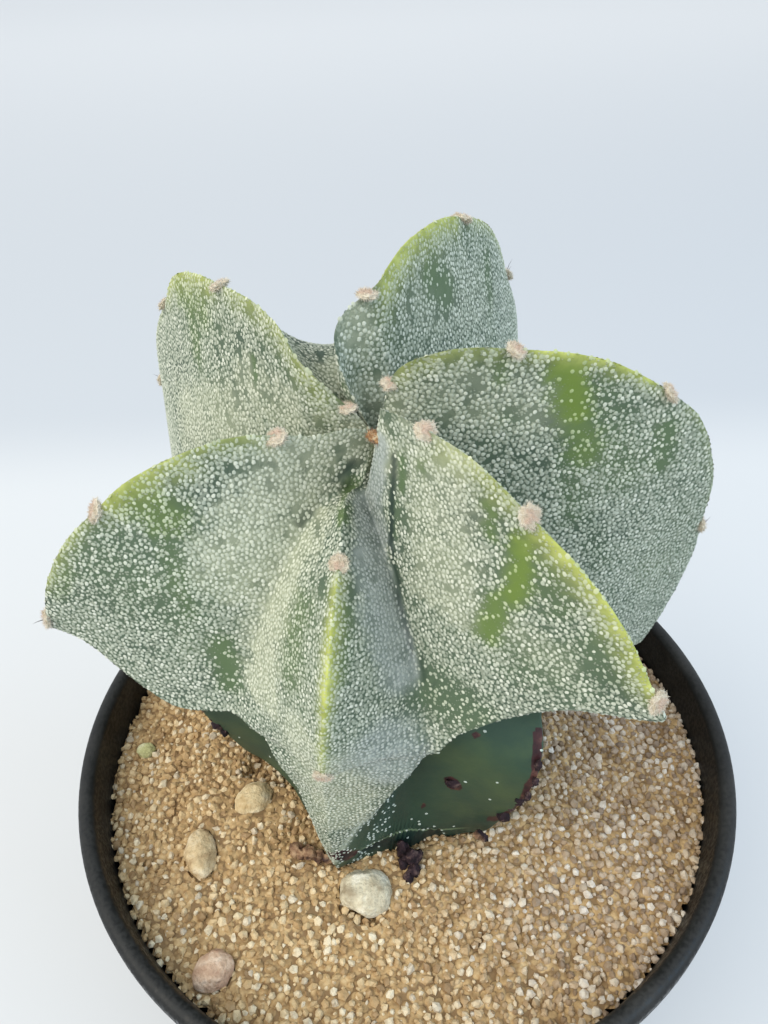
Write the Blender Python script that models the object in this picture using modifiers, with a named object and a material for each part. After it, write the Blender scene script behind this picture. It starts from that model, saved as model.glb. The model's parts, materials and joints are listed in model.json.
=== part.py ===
"""Potted bishop's cap cactus: a nursery pot, its sand, five pebbles and one six-ribbed plant."""

import math
import random

import bmesh
import bpy
from mathutils import Matrix, Vector, noise

# Pot, in metres. The origin is the middle of its base, and -Y is the front.
RIM_RADIUS = 0.0525
POT_HEIGHT = 0.090
BASE_RADIUS = 0.038
WALL = 0.0013
FLOOR = 0.0016
LIP_WIDTH = 0.0026
LIP_HEIGHT = 0.0030
LIP_STEPS = 6
COLLAR_HEIGHT = 0.0100
COLLAR_STEP = 0.0008
POT_STEPS = 56
DRAIN_COUNT = 6
DRAIN_RING = 0.026
DRAIN_RADIUS = 0.0035
DRAIN_SIDES = 12
CORNER = 0.001
COLLAR_SLOPE = 0.0006
FOOT_CHAMFER = 0.0012

# Sand fill
GAP = 0.0003
SAND_DEPTH = 0.0074
SAND_CELLS = 36
SAND_SIDES = 64
SAND_WAVE = 0.0008
SAND_GRAIN = 0.0005
SAND_MOUND = 0.0012
SAND_MOUND_ENDS = (0.026, 0.042)
SAND_MARGIN = 0.004

# Plant. Polar angles are counted from the crown's axis, round a centre inside the body.
CROWN = Vector((-0.0061, -0.0032, 0.1512))
LEAN = Vector((-0.069, -0.232, 1.0)).normalized()
CENTRE_DEPTH = 0.0262
CROWN_SHIFT = Vector((0.0036, 0.0004, 0.0))
SHIFT_ENDS = 15
COLUMNS_PER_RIB = 10
YOUNG_RINGS = 24
EDGE_RINGS = 4
OLD_RINGS = 14
BODY_RINGS = YOUNG_RINGS + EDGE_RINGS + OLD_RINGS
BODY_CLEARANCE = 0.0006

# Outlines as (polar angle in degrees, distance from the centre): ridges and grooves of the
# young growth, and those of the old foot
YOUNG_RIDGE = (
    (0, 0.0236), (4, 0.0272), (9, 0.0312), (20, 0.0362), (36, 0.0404), (55, 0.0445), (75, 0.0475),
    (90, 0.0492), (110, 0.0505), (130, 0.0520), (180, 0.0570),
)
YOUNG_GROOVE = (
    (0, 0.0236), (6, 0.0208), (16, 0.0192), (34, 0.0192), (52, 0.0198), (72, 0.0218), (90, 0.0252),
    (106, 0.0288), (124, 0.0315), (140, 0.0370), (150, 0.0460), (180, 0.0570),
)
OLD_RIDGE = (
    (0, 0.0236), (60, 0.0285), (80, 0.0305), (98, 0.0322), (106, 0.0341), (116, 0.0367),
    (128, 0.0397), (140, 0.0440), (150, 0.0490), (157, 0.0510), (164, 0.0530), (172, 0.0555),
    (180, 0.0570),
)
OLD_GROOVE = (
    (0, 0.0200), (60, 0.0195), (90, 0.0200), (110, 0.0216), (124, 0.0242), (135, 0.0290),
    (144, 0.0360), (149, 0.0420), (152, 0.0475), (157, 0.0500), (164, 0.0525), (172, 0.0550),
    (180, 0.0570),
)

# The six ribs: direction, turn from crown to skirt and extra turn at the crown (degrees), reach
# at the crown and at the skirt against the young outline, fullness of the flanks on either
# side, polar angle where the ridge follows the old outline, size of the old ridge against its
# outline, polar angle where the young growth ends on the ridge and the shares of the way to
# the valley over which that changes, and the polar angles of the areoles. The valley after
# each rib: size of its young and its old outline, and where the young growth ends in it.
RIBS = (
    {"name": "front", "facing": 262.3, "turn": -14, "curl": 12, "crown": 0.60, "skirt": 0.64,
     "fullness": (0.10, 0.10), "rooted": 102, "foot": 0.84, "ends": 152, "edge": (0.0, 0.9),
     "areoles": (36, 94), "valley": {"young": 1.0, "old": 1.0, "ends": 105}},
    {"name": "right_front", "facing": 312.0, "turn": -5, "curl": 0, "crown": 1.03, "skirt": 1.04,
     "fullness": (0.10, 0.10), "rooted": 180, "foot": 1.0, "ends": 74, "edge": (0.25, 1.0),
     "areoles": (21, 39, 66), "valley": {"young": 1.0, "old": 1.0, "ends": 98}},
    {"name": "right", "facing": 362.4, "turn": -6, "curl": 16, "crown": 1.05, "skirt": 0.90,
     "fullness": (0.10, 0.10), "rooted": 180, "foot": 1.0, "ends": 121, "edge": (0.0, 1.0),
     "areoles": (8, 30, 56, 90, 106), "valley": {"young": 1.0, "old": 1.0, "ends": 104}},
    {"name": "back", "facing": 421.3, "turn": -7, "curl": 66, "crown": 1.09, "skirt": 1.05,
     "fullness": (0.10, 0.10), "rooted": 180, "foot": 1.0, "ends": 108, "edge": (0.0, 1.0),
     "areoles": (17, 49, 76, 98), "valley": {"young": 1.5, "old": 1.0, "ends": 106}},
    {"name": "left_back", "facing": 489.0, "turn": 14, "curl": 20, "crown": 0.97, "skirt": 1.06,
     "fullness": (0.40, 0.10), "rooted": 180, "foot": 1.0, "ends": 104, "edge": (0.0, 1.0),
     "areoles": (5, 37, 64, 88), "valley": {"young": 1.0, "old": 0.95, "ends": 104}},
    {"name": "left", "facing": 557.2, "turn": 2, "curl": 8, "crown": 0.84, "skirt": 0.91,
     "fullness": (0.10, 0.10), "rooted": 180, "foot": 0.95, "ends": 83, "edge": (0.0, 0.7),
     "areoles": (15, 49, 77, 106), "valley": {"young": 1.0, "old": 0.86, "ends": 105}},
)
SKIRT_ANGLE = 126
SKIRT_SPREAD = 5
ROOTED_SPREAD = 8
CURL_ENDS = 20
RIDGE_FADE = (125, 150)
VALLEY_FADE = (156, 180)
UPRIGHT_FROM = 84
UPRIGHT_AT = 122
CRENATION = 0.0007
FULLNESS = 0.10

# Small growths fused to the plant
AREOLE_RADIUS = 0.0013
SPINE_LENGTH = 0.0032
SPINE_RADIUS = 0.0003
SPINE_SINK = 0.0006
SPINED_FROM = 45
KNOB_RADIUS = 0.0011
KNOBS_PER_RIB = 6
KNOB_FROM = 112
KNOB_TO = 141

# Pebbles lying in the sand: place on the sand, half sizes, turn in degrees
PEBBLES = (
    {"name": "pebble_cream", "at": (-0.0247, -0.0095), "half": (0.0034, 0.0028, 0.0026), "turn": 35},
    {"name": "pebble_tan", "at": (-0.0322, -0.0180), "half": (0.0025, 0.0040, 0.0022), "turn": 12},
    {"name": "pebble_grey", "at": (-0.0070, -0.0262), "half": (0.0040, 0.0034, 0.0028), "turn": -20},
    {"name": "pebble_pink", "at": (-0.0279, -0.0349), "half": (0.0029, 0.0026, 0.0020), "turn": 50},
    {"name": "pebble_green", "at": (-0.0445, 0.0010), "half": (0.0016, 0.0014, 0.0013), "turn": 0},
)
PEBBLE_SINK = 0.35
PEBBLE_LUMP = 0.10


def clear_scene():
    for thing in list(bpy.data.objects):
        bpy.data.objects.remove(thing, do_unlink=True)


def make_collection(name):
    group = bpy.data.collections.new(name)
    bpy.context.scene.collection.children.link(group)
    return group


def make_material(name, colour, roughness):
    material = bpy.data.materials.new(name)
    material.use_nodes = True
    shader = material.node_tree.nodes["Principled BSDF"]
    shader.inputs["Base Color"].default_value = (*colour, 1.0)
    shader.inputs["Roughness"].default_value = roughness
    shader.inputs["Metallic"].default_value = 0.0
    return material


def new_object(name, mesh_bm, group, material=None):
    bmesh.ops.recalc_face_normals(mesh_bm, faces=mesh_bm.faces)
    mesh = bpy.data.meshes.new(name)
    mesh_bm.to_mesh(mesh)
    mesh_bm.free()
    thing = bpy.data.objects.new(name, mesh)
    group.objects.link(thing)
    if material:
        mesh.materials.append(material)
    return thing


def make_cutter(name, mesh_bm, group):
    cutter = new_object(name, mesh_bm, group)
    cutter.hide_render = True
    cutter.display_type = "WIRE"
    return cutter


def smooth_read(outline, angle):
    """Read an outline at an angle, with a smooth curve through its points."""
    last = len(outline) - 1
    index = 0
    while index < last - 1 and outline[index + 1][0] < angle:
        index += 1
    start, end = outline[index], outline[index + 1]
    before = outline[max(index - 1, 0)]
    after = outline[min(index + 2, last)]
    span = end[0] - start[0]
    part = (angle - start[0]) / span
    slope_in = (end[1] - before[1]) / (end[0] - before[0]) * span
    slope_out = (after[1] - start[1]) / (after[0] - start[0]) * span
    square, cube = part * part, part ** 3
    return ((2 * cube - 3 * square + 1) * start[1] + (cube - 2 * square + part) * slope_in
            + (3 * square - 2 * cube) * end[1] + (cube - square) * slope_out)


def ease(value, low, high):
    part = min(max((value - low) / (high - low), 0.0), 1.0)
    return part * part * (3 - 2 * part)


def rib_facing(rib, angle):
    """Direction of a ridge at a polar angle, in radians."""
    drift = min(angle / SKIRT_ANGLE, 1.0) - 0.5
    curl = rib["curl"] * (1 - ease(angle, 0, CURL_ENDS))
    return math.radians(rib["facing"] + rib["turn"] * drift + curl)


def old_ridge(rib, angle):
    """Distance to a ridge of the old foot. Its own size fades out toward the sand."""
    size = rib["foot"] + (1 - rib["foot"]) * ease(angle, *RIDGE_FADE)
    return smooth_read(OLD_RIDGE, angle) * size


def old_groove(valley, angle):
    """Distance to a groove of the old foot. Its own size fades out below the sand."""
    size = valley["old"] + (1 - valley["old"]) * ease(angle, *VALLEY_FADE)
    return smooth_read(OLD_GROOVE, angle) * size


def young_groove(valley, angle):
    size = 1 + (valley["young"] - 1) * ease(angle, 4, 40)
    return smooth_read(YOUNG_GROOVE, angle) * size


def young_ridge(rib, angle):
    """Distance from the centre to a ridge of the young growth, pinched in at its areoles."""
    down = min(angle / SKIRT_ANGLE, 1.0)
    scale = 1 + (rib["crown"] + (rib["skirt"] - rib["crown"]) * down - 1) * ease(angle, 2, 10)
    nearest = min(abs(angle - areole) for areole in rib["areoles"])
    swell = CRENATION * ease(angle, 2, 10) * (1 - math.exp(-((nearest / 7) ** 2)))
    young = smooth_read(YOUNG_RIDGE, angle) * scale + swell
    rooted = ease(angle, rib["rooted"] - ROOTED_SPREAD, rib["rooted"] + ROOTED_SPREAD)
    return young + (old_ridge(rib, angle) - young) * rooted


def chord_reach(ridge, groove, spread, offset, fullness):
    """Distance to the slightly full flank between a ridge and the groove beside it."""
    groove = min(groove, ridge * 0.97)
    chord = ridge * groove * math.sin(spread)
    chord /= ridge * math.sin(offset) + groove * math.sin(spread - offset)
    return chord * (1 + fullness * (1 - groove / ridge) * math.sin(math.pi * offset / spread))


def edge_angle(rib, valley, toward):
    """Polar angle where the young growth ends, from a ridge (0) toward its valley (1)."""
    return rib["ends"] + (valley["ends"] - rib["ends"]) * ease(toward, *rib["edge"])


def young_share(angle, ends):
    return 1 - ease(angle, ends - SKIRT_SPREAD, ends + SKIRT_SPREAD)


def rib_reach(rib, angle):
    """Distance of a ridge from the body's centre at a polar angle."""
    old = old_ridge(rib, angle)
    return old + (young_ridge(rib, angle) - old) * young_share(angle, rib["ends"])


def flank_reach(rib, valley, angle, spread, toward):
    """Distance to a flank, where young growth hangs over the old foot below it."""
    fullness = rib["fullness"][1 if valley is rib["valley"] else 0]
    young = chord_reach(
        young_ridge(rib, angle), young_groove(valley, angle), spread, toward * spread, fullness)
    old = chord_reach(
        old_ridge(rib, angle), old_groove(valley, angle), spread, toward * spread, FULLNESS)
    return old + (young - old) * young_share(angle, edge_angle(rib, valley, toward))


def ring_angle(part, ends):
    """Polar angle of a ring of faces. Some rings follow the edge of the young growth."""
    above = YOUNG_RINGS / BODY_RINGS
    below = (YOUNG_RINGS + EDGE_RINGS) / BODY_RINGS
    low, high = ends - SKIRT_SPREAD, ends + SKIRT_SPREAD
    if part < above:
        return low * part / above
    if part < below:
        return low + (high - low) * (part - above) / (below - above)
    return high + (180 - high) * (part - below) / (1 - below)


def body_frame(angle):
    """The plant's own axes at a polar angle: right, away and up. Its foot stands upright."""
    up = LEAN.lerp(Vector((0, 0, 1)), ease(angle, UPRIGHT_FROM, UPRIGHT_AT)).normalized()
    right = (Vector((1, 0, 0)) - up * up.x).normalized()
    return right, up.cross(right), up


def body_centre():
    return CROWN - LEAN * CENTRE_DEPTH


def body_point(facing, angle, reach):
    right, away, up = body_frame(angle)
    polar = math.radians(angle)
    level = right * math.cos(facing) + away * math.sin(facing)
    spot = body_centre() + (level * math.sin(polar) + up * math.cos(polar)) * reach
    return spot + CROWN_SHIFT * (1 - ease(angle, 0, SHIFT_ENDS))


def body_mesh(clearance=0.0):
    """A sphere drawn out into six ribs, whose columns of faces follow the ridges."""
    columns = COLUMNS_PER_RIB * len(RIBS)
    mesh_bm = bmesh.new()
    bmesh.ops.create_uvsphere(
        mesh_bm, u_segments=columns, v_segments=BODY_RINGS, radius=1.0)
    for vert in mesh_bm.verts:
        part = math.acos(min(max(vert.co.z, -1.0), 1.0)) / math.pi
        column = round(math.atan2(vert.co.y, vert.co.x) / math.tau * columns) % columns
        index, step = divmod(column, COLUMNS_PER_RIB)
        share = 0.5 - 0.5 * math.cos(math.pi * step / COLUMNS_PER_RIB)
        rib, other = RIBS[index], RIBS[(index + 1) % len(RIBS)]
        closest = rib if share < 0.5 else other
        toward = 1 - abs(2 * share - 1)
        valley = rib["valley"]
        angle = ring_angle(part, edge_angle(closest, valley, toward))
        near = rib_facing(rib, angle)
        far = rib_facing(other, angle) + (math.tau if other is RIBS[0] else 0.0)
        reach = flank_reach(closest, valley, angle, (far - near) / 2, toward)
        vert.co = body_point(near + share * (far - near), angle, reach + clearance)
    bmesh.ops.triangulate(mesh_bm, faces=mesh_bm.faces, quad_method="FIXED")
    return mesh_bm


def add_ball(mesh_bm, place, radius, flat=1.0):
    spot = Matrix.Translation(place) @ Matrix.Diagonal((1, 1, flat, 1))
    bmesh.ops.create_icosphere(mesh_bm, subdivisions=1, radius=radius, matrix=spot)


def add_spine(mesh_bm, root, direction):
    turn = direction.to_track_quat("Z", "Y").to_matrix().to_4x4()
    middle = root + direction * (SPINE_LENGTH / 2 - SPINE_SINK)
    bmesh.ops.create_cone(
        mesh_bm, cap_ends=True, segments=3, radius1=SPINE_RADIUS, radius2=SPINE_RADIUS * 0.25,
        depth=SPINE_LENGTH, matrix=Matrix.Translation(middle) @ turn)


def growths(draw):
    """Each areole, spine and corky knob as its own small closed mesh."""
    pieces = []
    centre = body_centre()
    for rib in RIBS:
        for angle in rib["areoles"]:
            spot = body_point(rib_facing(rib, angle), angle, rib_reach(rib, angle))
            tuft = bmesh.new()
            add_ball(tuft, spot, AREOLE_RADIUS)
            pieces.append(tuft)
            if angle < SPINED_FROM:
                continue
            outward = (spot - centre).normalized()
            for side in (-1, 1):
                sway = Vector((draw.uniform(-0.2, 0.2), draw.uniform(-0.2, 0.2), 0.35 * side))
                spine = bmesh.new()
                start = spot + outward * AREOLE_RADIUS + Vector((0, 0, SPINE_RADIUS * side))
                add_spine(spine, start, (outward + sway).normalized())
                pieces.append(spine)
        for number in range(KNOBS_PER_RIB):
            share = (number + draw.uniform(0.2, 0.8)) / KNOBS_PER_RIB
            angle = KNOB_FROM + (KNOB_TO - KNOB_FROM) * share
            spot = body_point(rib_facing(rib, angle), angle, rib_reach(rib, angle))
            knob = bmesh.new()
            add_ball(knob, spot, KNOB_RADIUS * draw.uniform(0.8, 1.4), 0.8)
            pieces.append(knob)
    return pieces


def fuse(thing, pieces, group):
    """Join small closed meshes to an object with one Boolean, then drop them."""
    loose = [make_cutter(f"growth_{index}", piece, group) for index, piece in enumerate(pieces)]
    joiner = thing.modifiers.new("Fuse", "BOOLEAN")
    joiner.operation = "UNION"
    joiner.operand_type = "COLLECTION"
    joiner.collection = group
    joiner.solver = "EXACT"
    bpy.context.view_layer.update()
    evaluated = thing.evaluated_get(bpy.context.evaluated_depsgraph_get())
    joined = bpy.data.meshes.new_from_object(evaluated)
    thing.modifiers.clear()
    thing.data = joined
    for item in loose:
        bpy.data.objects.remove(item, do_unlink=True)


def build_cactus(parts):
    green = make_material("cactus_skin", (0.36, 0.42, 0.30), 0.75)
    cactus = new_object("cactus", body_mesh(), parts, green)
    extras = make_collection("cactus_growths")
    fuse(cactus, growths(random.Random(7)), extras)
    bpy.data.collections.remove(extras)
    cactus.data.shade_smooth()
    cactus.data.set_sharp_from_angle(angle=math.radians(32))
    return cactus


def pot_profile():
    """Half section from the floor's middle, up the inside, over the lip and down outside."""
    inside = BASE_RADIUS - WALL
    inner_rim = RIM_RADIUS - LIP_WIDTH
    collar = inner_rim + WALL + COLLAR_STEP
    collar_foot = POT_HEIGHT - COLLAR_HEIGHT
    lip_radius = LIP_WIDTH / 2
    points = [(0.0, FLOOR), (inside - CORNER, FLOOR), (inside, FLOOR + CORNER)]
    for step in range(LIP_STEPS + 1):
        turn = math.pi * (1 - step / LIP_STEPS)
        points.append((inner_rim + lip_radius * (1 + math.cos(turn)),
                       POT_HEIGHT - lip_radius * (1 - math.sin(turn))))
    points.append((RIM_RADIUS, POT_HEIGHT - LIP_HEIGHT))
    points.append((collar, POT_HEIGHT - LIP_HEIGHT - COLLAR_SLOPE))
    points.append((collar - COLLAR_SLOPE, collar_foot))
    points.append((wall_radius(collar_foot - COLLAR_SLOPE) + WALL, collar_foot - COLLAR_SLOPE))
    points.append((BASE_RADIUS, FOOT_CHAMFER))
    points.append((BASE_RADIUS - FOOT_CHAMFER, 0.0))
    points.append((0.0, 0.0))
    return points


def wall_radius(height):
    """Inner radius of the pot's wall at a height."""
    low, high = FLOOR + CORNER, POT_HEIGHT - LIP_WIDTH / 2
    share = (height - low) / (high - low)
    return BASE_RADIUS - WALL + (RIM_RADIUS - LIP_WIDTH - BASE_RADIUS + WALL) * share


def build_pot(parts, cutters):
    mesh = bpy.data.meshes.new("pot")
    profile = bmesh.new()
    verts = [profile.verts.new((radius, 0.0, height)) for radius, height in pot_profile()]
    for first, second in zip(verts, verts[1:]):
        profile.edges.new((first, second))
    profile.to_mesh(mesh)
    profile.free()
    pot = bpy.data.objects.new("pot", mesh)
    parts.objects.link(pot)
    mesh.materials.append(make_material("pot_plastic", (0.035, 0.037, 0.040), 0.45))
    turn = pot.modifiers.new("Turn", "SCREW")
    turn.steps = POT_STEPS
    turn.render_steps = POT_STEPS
    turn.use_merge_vertices = True
    turn.merge_threshold = 0.0001
    turn.use_smooth_shade = True
    drains = bmesh.new()
    for index in range(DRAIN_COUNT):
        facing = math.tau * (index + 0.5) / DRAIN_COUNT
        spot = Matrix.Translation((DRAIN_RING * math.cos(facing), DRAIN_RING * math.sin(facing), 0))
        bmesh.ops.create_cone(
            drains, cap_ends=True, segments=DRAIN_SIDES, radius1=DRAIN_RADIUS,
            radius2=DRAIN_RADIUS, depth=FLOOR * 4, matrix=spot)
    cut = pot.modifiers.new("Drains", "BOOLEAN")
    cut.operation = "DIFFERENCE"
    cut.object = make_cutter("drain_holes", drains, cutters)
    return pot


def sand_level():
    return POT_HEIGHT - SAND_DEPTH


def sand_height(x, y, draw):
    """Uneven surface of coarse sand, a little higher round the plant."""
    foot = body_centre()
    away = math.hypot(x - foot.x, y - foot.y)
    wave = noise.noise(Vector((x, y, 0.3)) * 70)
    return (sand_level() + SAND_WAVE * wave + SAND_GRAIN * draw.uniform(-1, 1)
            + SAND_MOUND * (1 - ease(away, *SAND_MOUND_ENDS)))


def build_sand(parts, cutters):
    draw = random.Random(11)
    half = RIM_RADIUS + SAND_MARGIN
    block = bmesh.new()
    bmesh.ops.create_grid(block, x_segments=SAND_CELLS, y_segments=SAND_CELLS, size=half)
    top = list(block.faces)
    base = bmesh.ops.extrude_face_region(block, geom=top)
    lifted = [item for item in base["geom"] if isinstance(item, bmesh.types.BMVert)]
    for vert in lifted:
        vert.co.z = sand_height(vert.co.x, vert.co.y, draw)
    bmesh.ops.dissolve_limit(
        block, angle_limit=0.01, verts=[v for v in block.verts if v.co.z == 0.0],
        edges=[e for e in block.edges if all(v.co.z == 0.0 for v in e.verts)])
    sand = new_object("sand", block, parts, make_material("sand", (0.62, 0.50, 0.36), 0.9))
    low = FLOOR + GAP
    high = POT_HEIGHT
    plug = bmesh.new()
    bmesh.ops.create_cone(
        plug, cap_ends=True, segments=SAND_SIDES, radius1=wall_radius(low) - CORNER - GAP,
        radius2=wall_radius(high) - GAP * 2, depth=high - low,
        matrix=Matrix.Translation((0, 0, (low + high) / 2)))
    keep = sand.modifiers.new("Pot shape", "BOOLEAN")
    keep.operation = "INTERSECT"
    keep.object = make_cutter("sand_plug", plug, cutters)
    hole = sand.modifiers.new("Plant hole", "BOOLEAN")
    hole.operation = "DIFFERENCE"
    hole.solver = "MANIFOLD"
    hole.object = make_cutter("plant_hole", body_mesh(BODY_CLEARANCE), cutters)
    return sand


def pebble_mesh(pebble, margin=0.0):
    draw = random.Random(pebble["name"])
    shift = Vector([draw.uniform(-5, 5) for _ in range(3)])
    stone = bmesh.new()
    bmesh.ops.create_icosphere(stone, subdivisions=2, radius=1.0)
    size = Vector(pebble["half"]) + Vector((margin, margin, margin))
    for vert in stone.verts:
        swell = 1 + PEBBLE_LUMP * noise.noise(vert.co * 1.6 + shift)
        vert.co = Vector(vert.co[axis] * size[axis] * swell for axis in range(3))
    x, y = pebble["at"]
    lift = pebble["half"][2] * (1 - 2 * PEBBLE_SINK)
    spot = Matrix.Translation((x, y, sand_level() + lift))
    bmesh.ops.transform(
        stone, matrix=spot @ Matrix.Rotation(math.radians(pebble["turn"]), 4, "Z"), verts=stone.verts)
    return stone


def build_pebbles(parts, cutters, sand):
    stone_colour = make_material("pebble", (0.72, 0.64, 0.50), 0.85)
    hollows = make_collection("pebble_hollows")
    for pebble in PEBBLES:
        stone = new_object(pebble["name"], pebble_mesh(pebble), parts, stone_colour)
        stone.data.shade_smooth()
        hollow = make_cutter(pebble["name"] + "_hollow", pebble_mesh(pebble, GAP), cutters)
        hollows.objects.link(hollow)
    bed = sand.modifiers.new("Pebble hollows", "BOOLEAN")
    bed.operation = "DIFFERENCE"
    bed.operand_type = "COLLECTION"
    bed.solver = "MANIFOLD"
    bed.collection = hollows


def main():
    clear_scene()
    parts = make_collection("potted_bishops_cap_cactus")
    cutters = make_collection("cutters")
    build_pot(parts, cutters)
    sand = build_sand(parts, cutters)
    build_pebbles(parts, cutters, sand)
    build_cactus(parts)


main()
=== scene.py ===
import json
import math
import random

import bmesh
import bpy
from mathutils import Matrix, Vector, kdtree, noise

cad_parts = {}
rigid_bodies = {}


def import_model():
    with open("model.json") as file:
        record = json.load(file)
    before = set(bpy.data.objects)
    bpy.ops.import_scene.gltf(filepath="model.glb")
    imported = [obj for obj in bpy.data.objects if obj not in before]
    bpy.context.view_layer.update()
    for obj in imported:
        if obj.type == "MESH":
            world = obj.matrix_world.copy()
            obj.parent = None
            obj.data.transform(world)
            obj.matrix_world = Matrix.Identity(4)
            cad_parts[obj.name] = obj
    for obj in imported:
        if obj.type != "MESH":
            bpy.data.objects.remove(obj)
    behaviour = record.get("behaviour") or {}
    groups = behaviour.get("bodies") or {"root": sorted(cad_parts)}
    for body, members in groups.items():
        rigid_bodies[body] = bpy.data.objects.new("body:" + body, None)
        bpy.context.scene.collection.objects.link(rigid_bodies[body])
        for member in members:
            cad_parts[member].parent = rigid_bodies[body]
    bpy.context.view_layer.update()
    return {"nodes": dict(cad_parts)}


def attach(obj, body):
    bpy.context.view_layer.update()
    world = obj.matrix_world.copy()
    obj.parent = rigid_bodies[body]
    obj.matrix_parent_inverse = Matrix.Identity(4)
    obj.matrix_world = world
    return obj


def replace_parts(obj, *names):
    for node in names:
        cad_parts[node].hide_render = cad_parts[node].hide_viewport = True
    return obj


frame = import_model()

print("frame loaded")


# small helpers

def ease(value, low, high):
    part = min(max((value - low) / (high - low), 0.0), 1.0)
    return part * part * (3 - 2 * part)


def smoothRead(outline, angle):
    # smooth curve through the points of an outline
    last = len(outline) - 1
    index = 0
    while index < last - 1 and outline[index + 1][0] < angle:
        index += 1
    start, end = outline[index], outline[index + 1]
    before = outline[max(index - 1, 0)]
    after = outline[min(index + 2, last)]
    span = end[0] - start[0]
    part = (angle - start[0]) / span
    slopeIn = (end[1] - before[1]) / (end[0] - before[0]) * span
    slopeOut = (after[1] - start[1]) / (after[0] - start[0]) * span
    square, cube = part * part, part ** 3
    return ((2 * cube - 3 * square + 1) * start[1] + (cube - 2 * square + part) * slopeIn
            + (3 * square - 2 * cube) * end[1] + (cube - square) * slopeOut)


def drawShift(draw, reach):
    return Vector([draw.uniform(-reach, reach) for _ in range(3)])


def paint(red, green, blue):
    # a colour as picked on screen, made linear for the shader
    screen = [value / 255 for value in (red, green, blue)]
    return tuple(v / 12.92 if v < 0.04 else ((v + 0.055) / 1.055) ** 2.4 for v in screen) + (1.0,)


def link(thing):
    bpy.context.scene.collection.objects.link(thing)
    return thing


def steadyOrder(bm):
    # welding leaves the faces in a new order each run, and scattered shapes follow that order
    bm.verts.index_update()
    ranked = sorted(bm.faces, key=lambda face: sorted(vert.index for vert in face.verts))
    places = {face: index for index, face in enumerate(ranked)}
    bm.faces.sort(key=lambda face: places[face])


def meshFrom(name, bm):
    mesh = bpy.data.meshes.new(name)
    bm.to_mesh(mesh)
    bm.free()
    return mesh


def placePiece(piece):
    link(piece)
    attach(piece, "root")
    return piece


def makePiece(name, bm, material, smooth=True):
    mesh = meshFrom(name, bm)
    mesh.materials.append(material)
    if smooth:
        mesh.shade_smooth()
    return placePiece(bpy.data.objects.new(name, mesh))


def liveSocket(sockets, name):
    # sockets of the same name share a node, and only one of them is in use
    return next(socket for socket in sockets if socket.name == name and socket.enabled)


def addNode(tree, kind, values=None, **settings):
    node = tree.nodes.new(kind)
    for key, value in settings.items():
        setattr(node, key, value)
    for key, value in (values or {}).items():
        socket = node.inputs[key] if isinstance(key, int) else liveSocket(node.inputs, key)
        if isinstance(value, bpy.types.NodeSocket):
            tree.links.new(value, socket)
        else:
            socket.default_value = value
    return node


def mixColour(tree, factor, first, second):
    node = addNode(tree, "ShaderNodeMix", {0: factor, 6: first, 7: second}, data_type="RGBA")
    return node.outputs[2]


def maths(tree, operation, first, second=0.0):
    node = addNode(tree, "ShaderNodeMath", {0: first, 1: second}, operation=operation)
    return node.outputs[0]


def scaled(tree, value, factor):
    return maths(tree, "MULTIPLY", value, factor)


def spread(tree, value, low, high, newLow=0.0, newHigh=1.0):
    node = addNode(tree, "ShaderNodeMapRange", {0: value, 1: low, 2: high, 3: newLow, 4: newHigh},
                   interpolation_type="SMOOTHSTEP")
    return node.outputs[0]


def ramp(tree, factor, stops):
    # stops: position, red, green, blue
    node = addNode(tree, "ShaderNodeValToRGB", {0: factor})
    band = node.color_ramp
    while len(band.elements) < len(stops):
        band.elements.new(0.5)
    for element, (at, *screen) in zip(band.elements, stops):
        element.position = at
        element.color = paint(*screen)
    return node.outputs[0]


def mark(tree, name):
    return addNode(tree, "ShaderNodeAttribute", attribute_name=name).outputs["Fac"]


def objectPlace(tree):
    return addNode(tree, "ShaderNodeTexCoord").outputs["Object"]


def startMaterial(name, roughness, specular):
    material = bpy.data.materials.new(name)
    material.use_nodes = True
    tree = material.node_tree
    shader = tree.nodes["Principled BSDF"]
    shader.inputs["Roughness"].default_value = roughness
    shader.inputs["Specular IOR Level"].default_value = specular
    return material, tree, shader


def setColour(tree, shader, colour):
    tree.links.new(colour, shader.inputs["Base Color"])


# shared shader groups

def startGroup(name, inputs, outputs):
    group = bpy.data.node_groups.new(name, "ShaderNodeTree")
    for socketName, kind, value in inputs:
        socket = group.interface.new_socket(socketName, in_out="INPUT", socket_type=kind)
        if value is not None:
            socket.default_value = value
    for socketName, kind in outputs:
        group.interface.new_socket(socketName, in_out="OUTPUT", socket_type=kind)
    return group, addNode(group, "NodeGroupInput"), addNode(group, "NodeGroupOutput")


def makeMottleGroup():
    # soft blotches, for skin, stone and plastic
    group, start, end = startGroup(
        "mottle",
        (("Place", "NodeSocketVector", None), ("Scale", "NodeSocketFloat", 100.0),
         ("Contrast", "NodeSocketFloat", 1.0)),
        (("Value", "NodeSocketFloat"),))
    cloud = addNode(group, "ShaderNodeTexNoise", {
        "Vector": start.outputs["Place"], "Scale": start.outputs["Scale"],
        "Detail": 5.0, "Roughness": 0.6})
    centred = maths(group, "SUBTRACT", cloud.outputs[0], 0.5)
    pushed = scaled(group, centred, start.outputs["Contrast"])
    value = maths(group, "ADD", pushed, 0.5)
    group.links.new(value, end.inputs["Value"])
    return group


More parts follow.
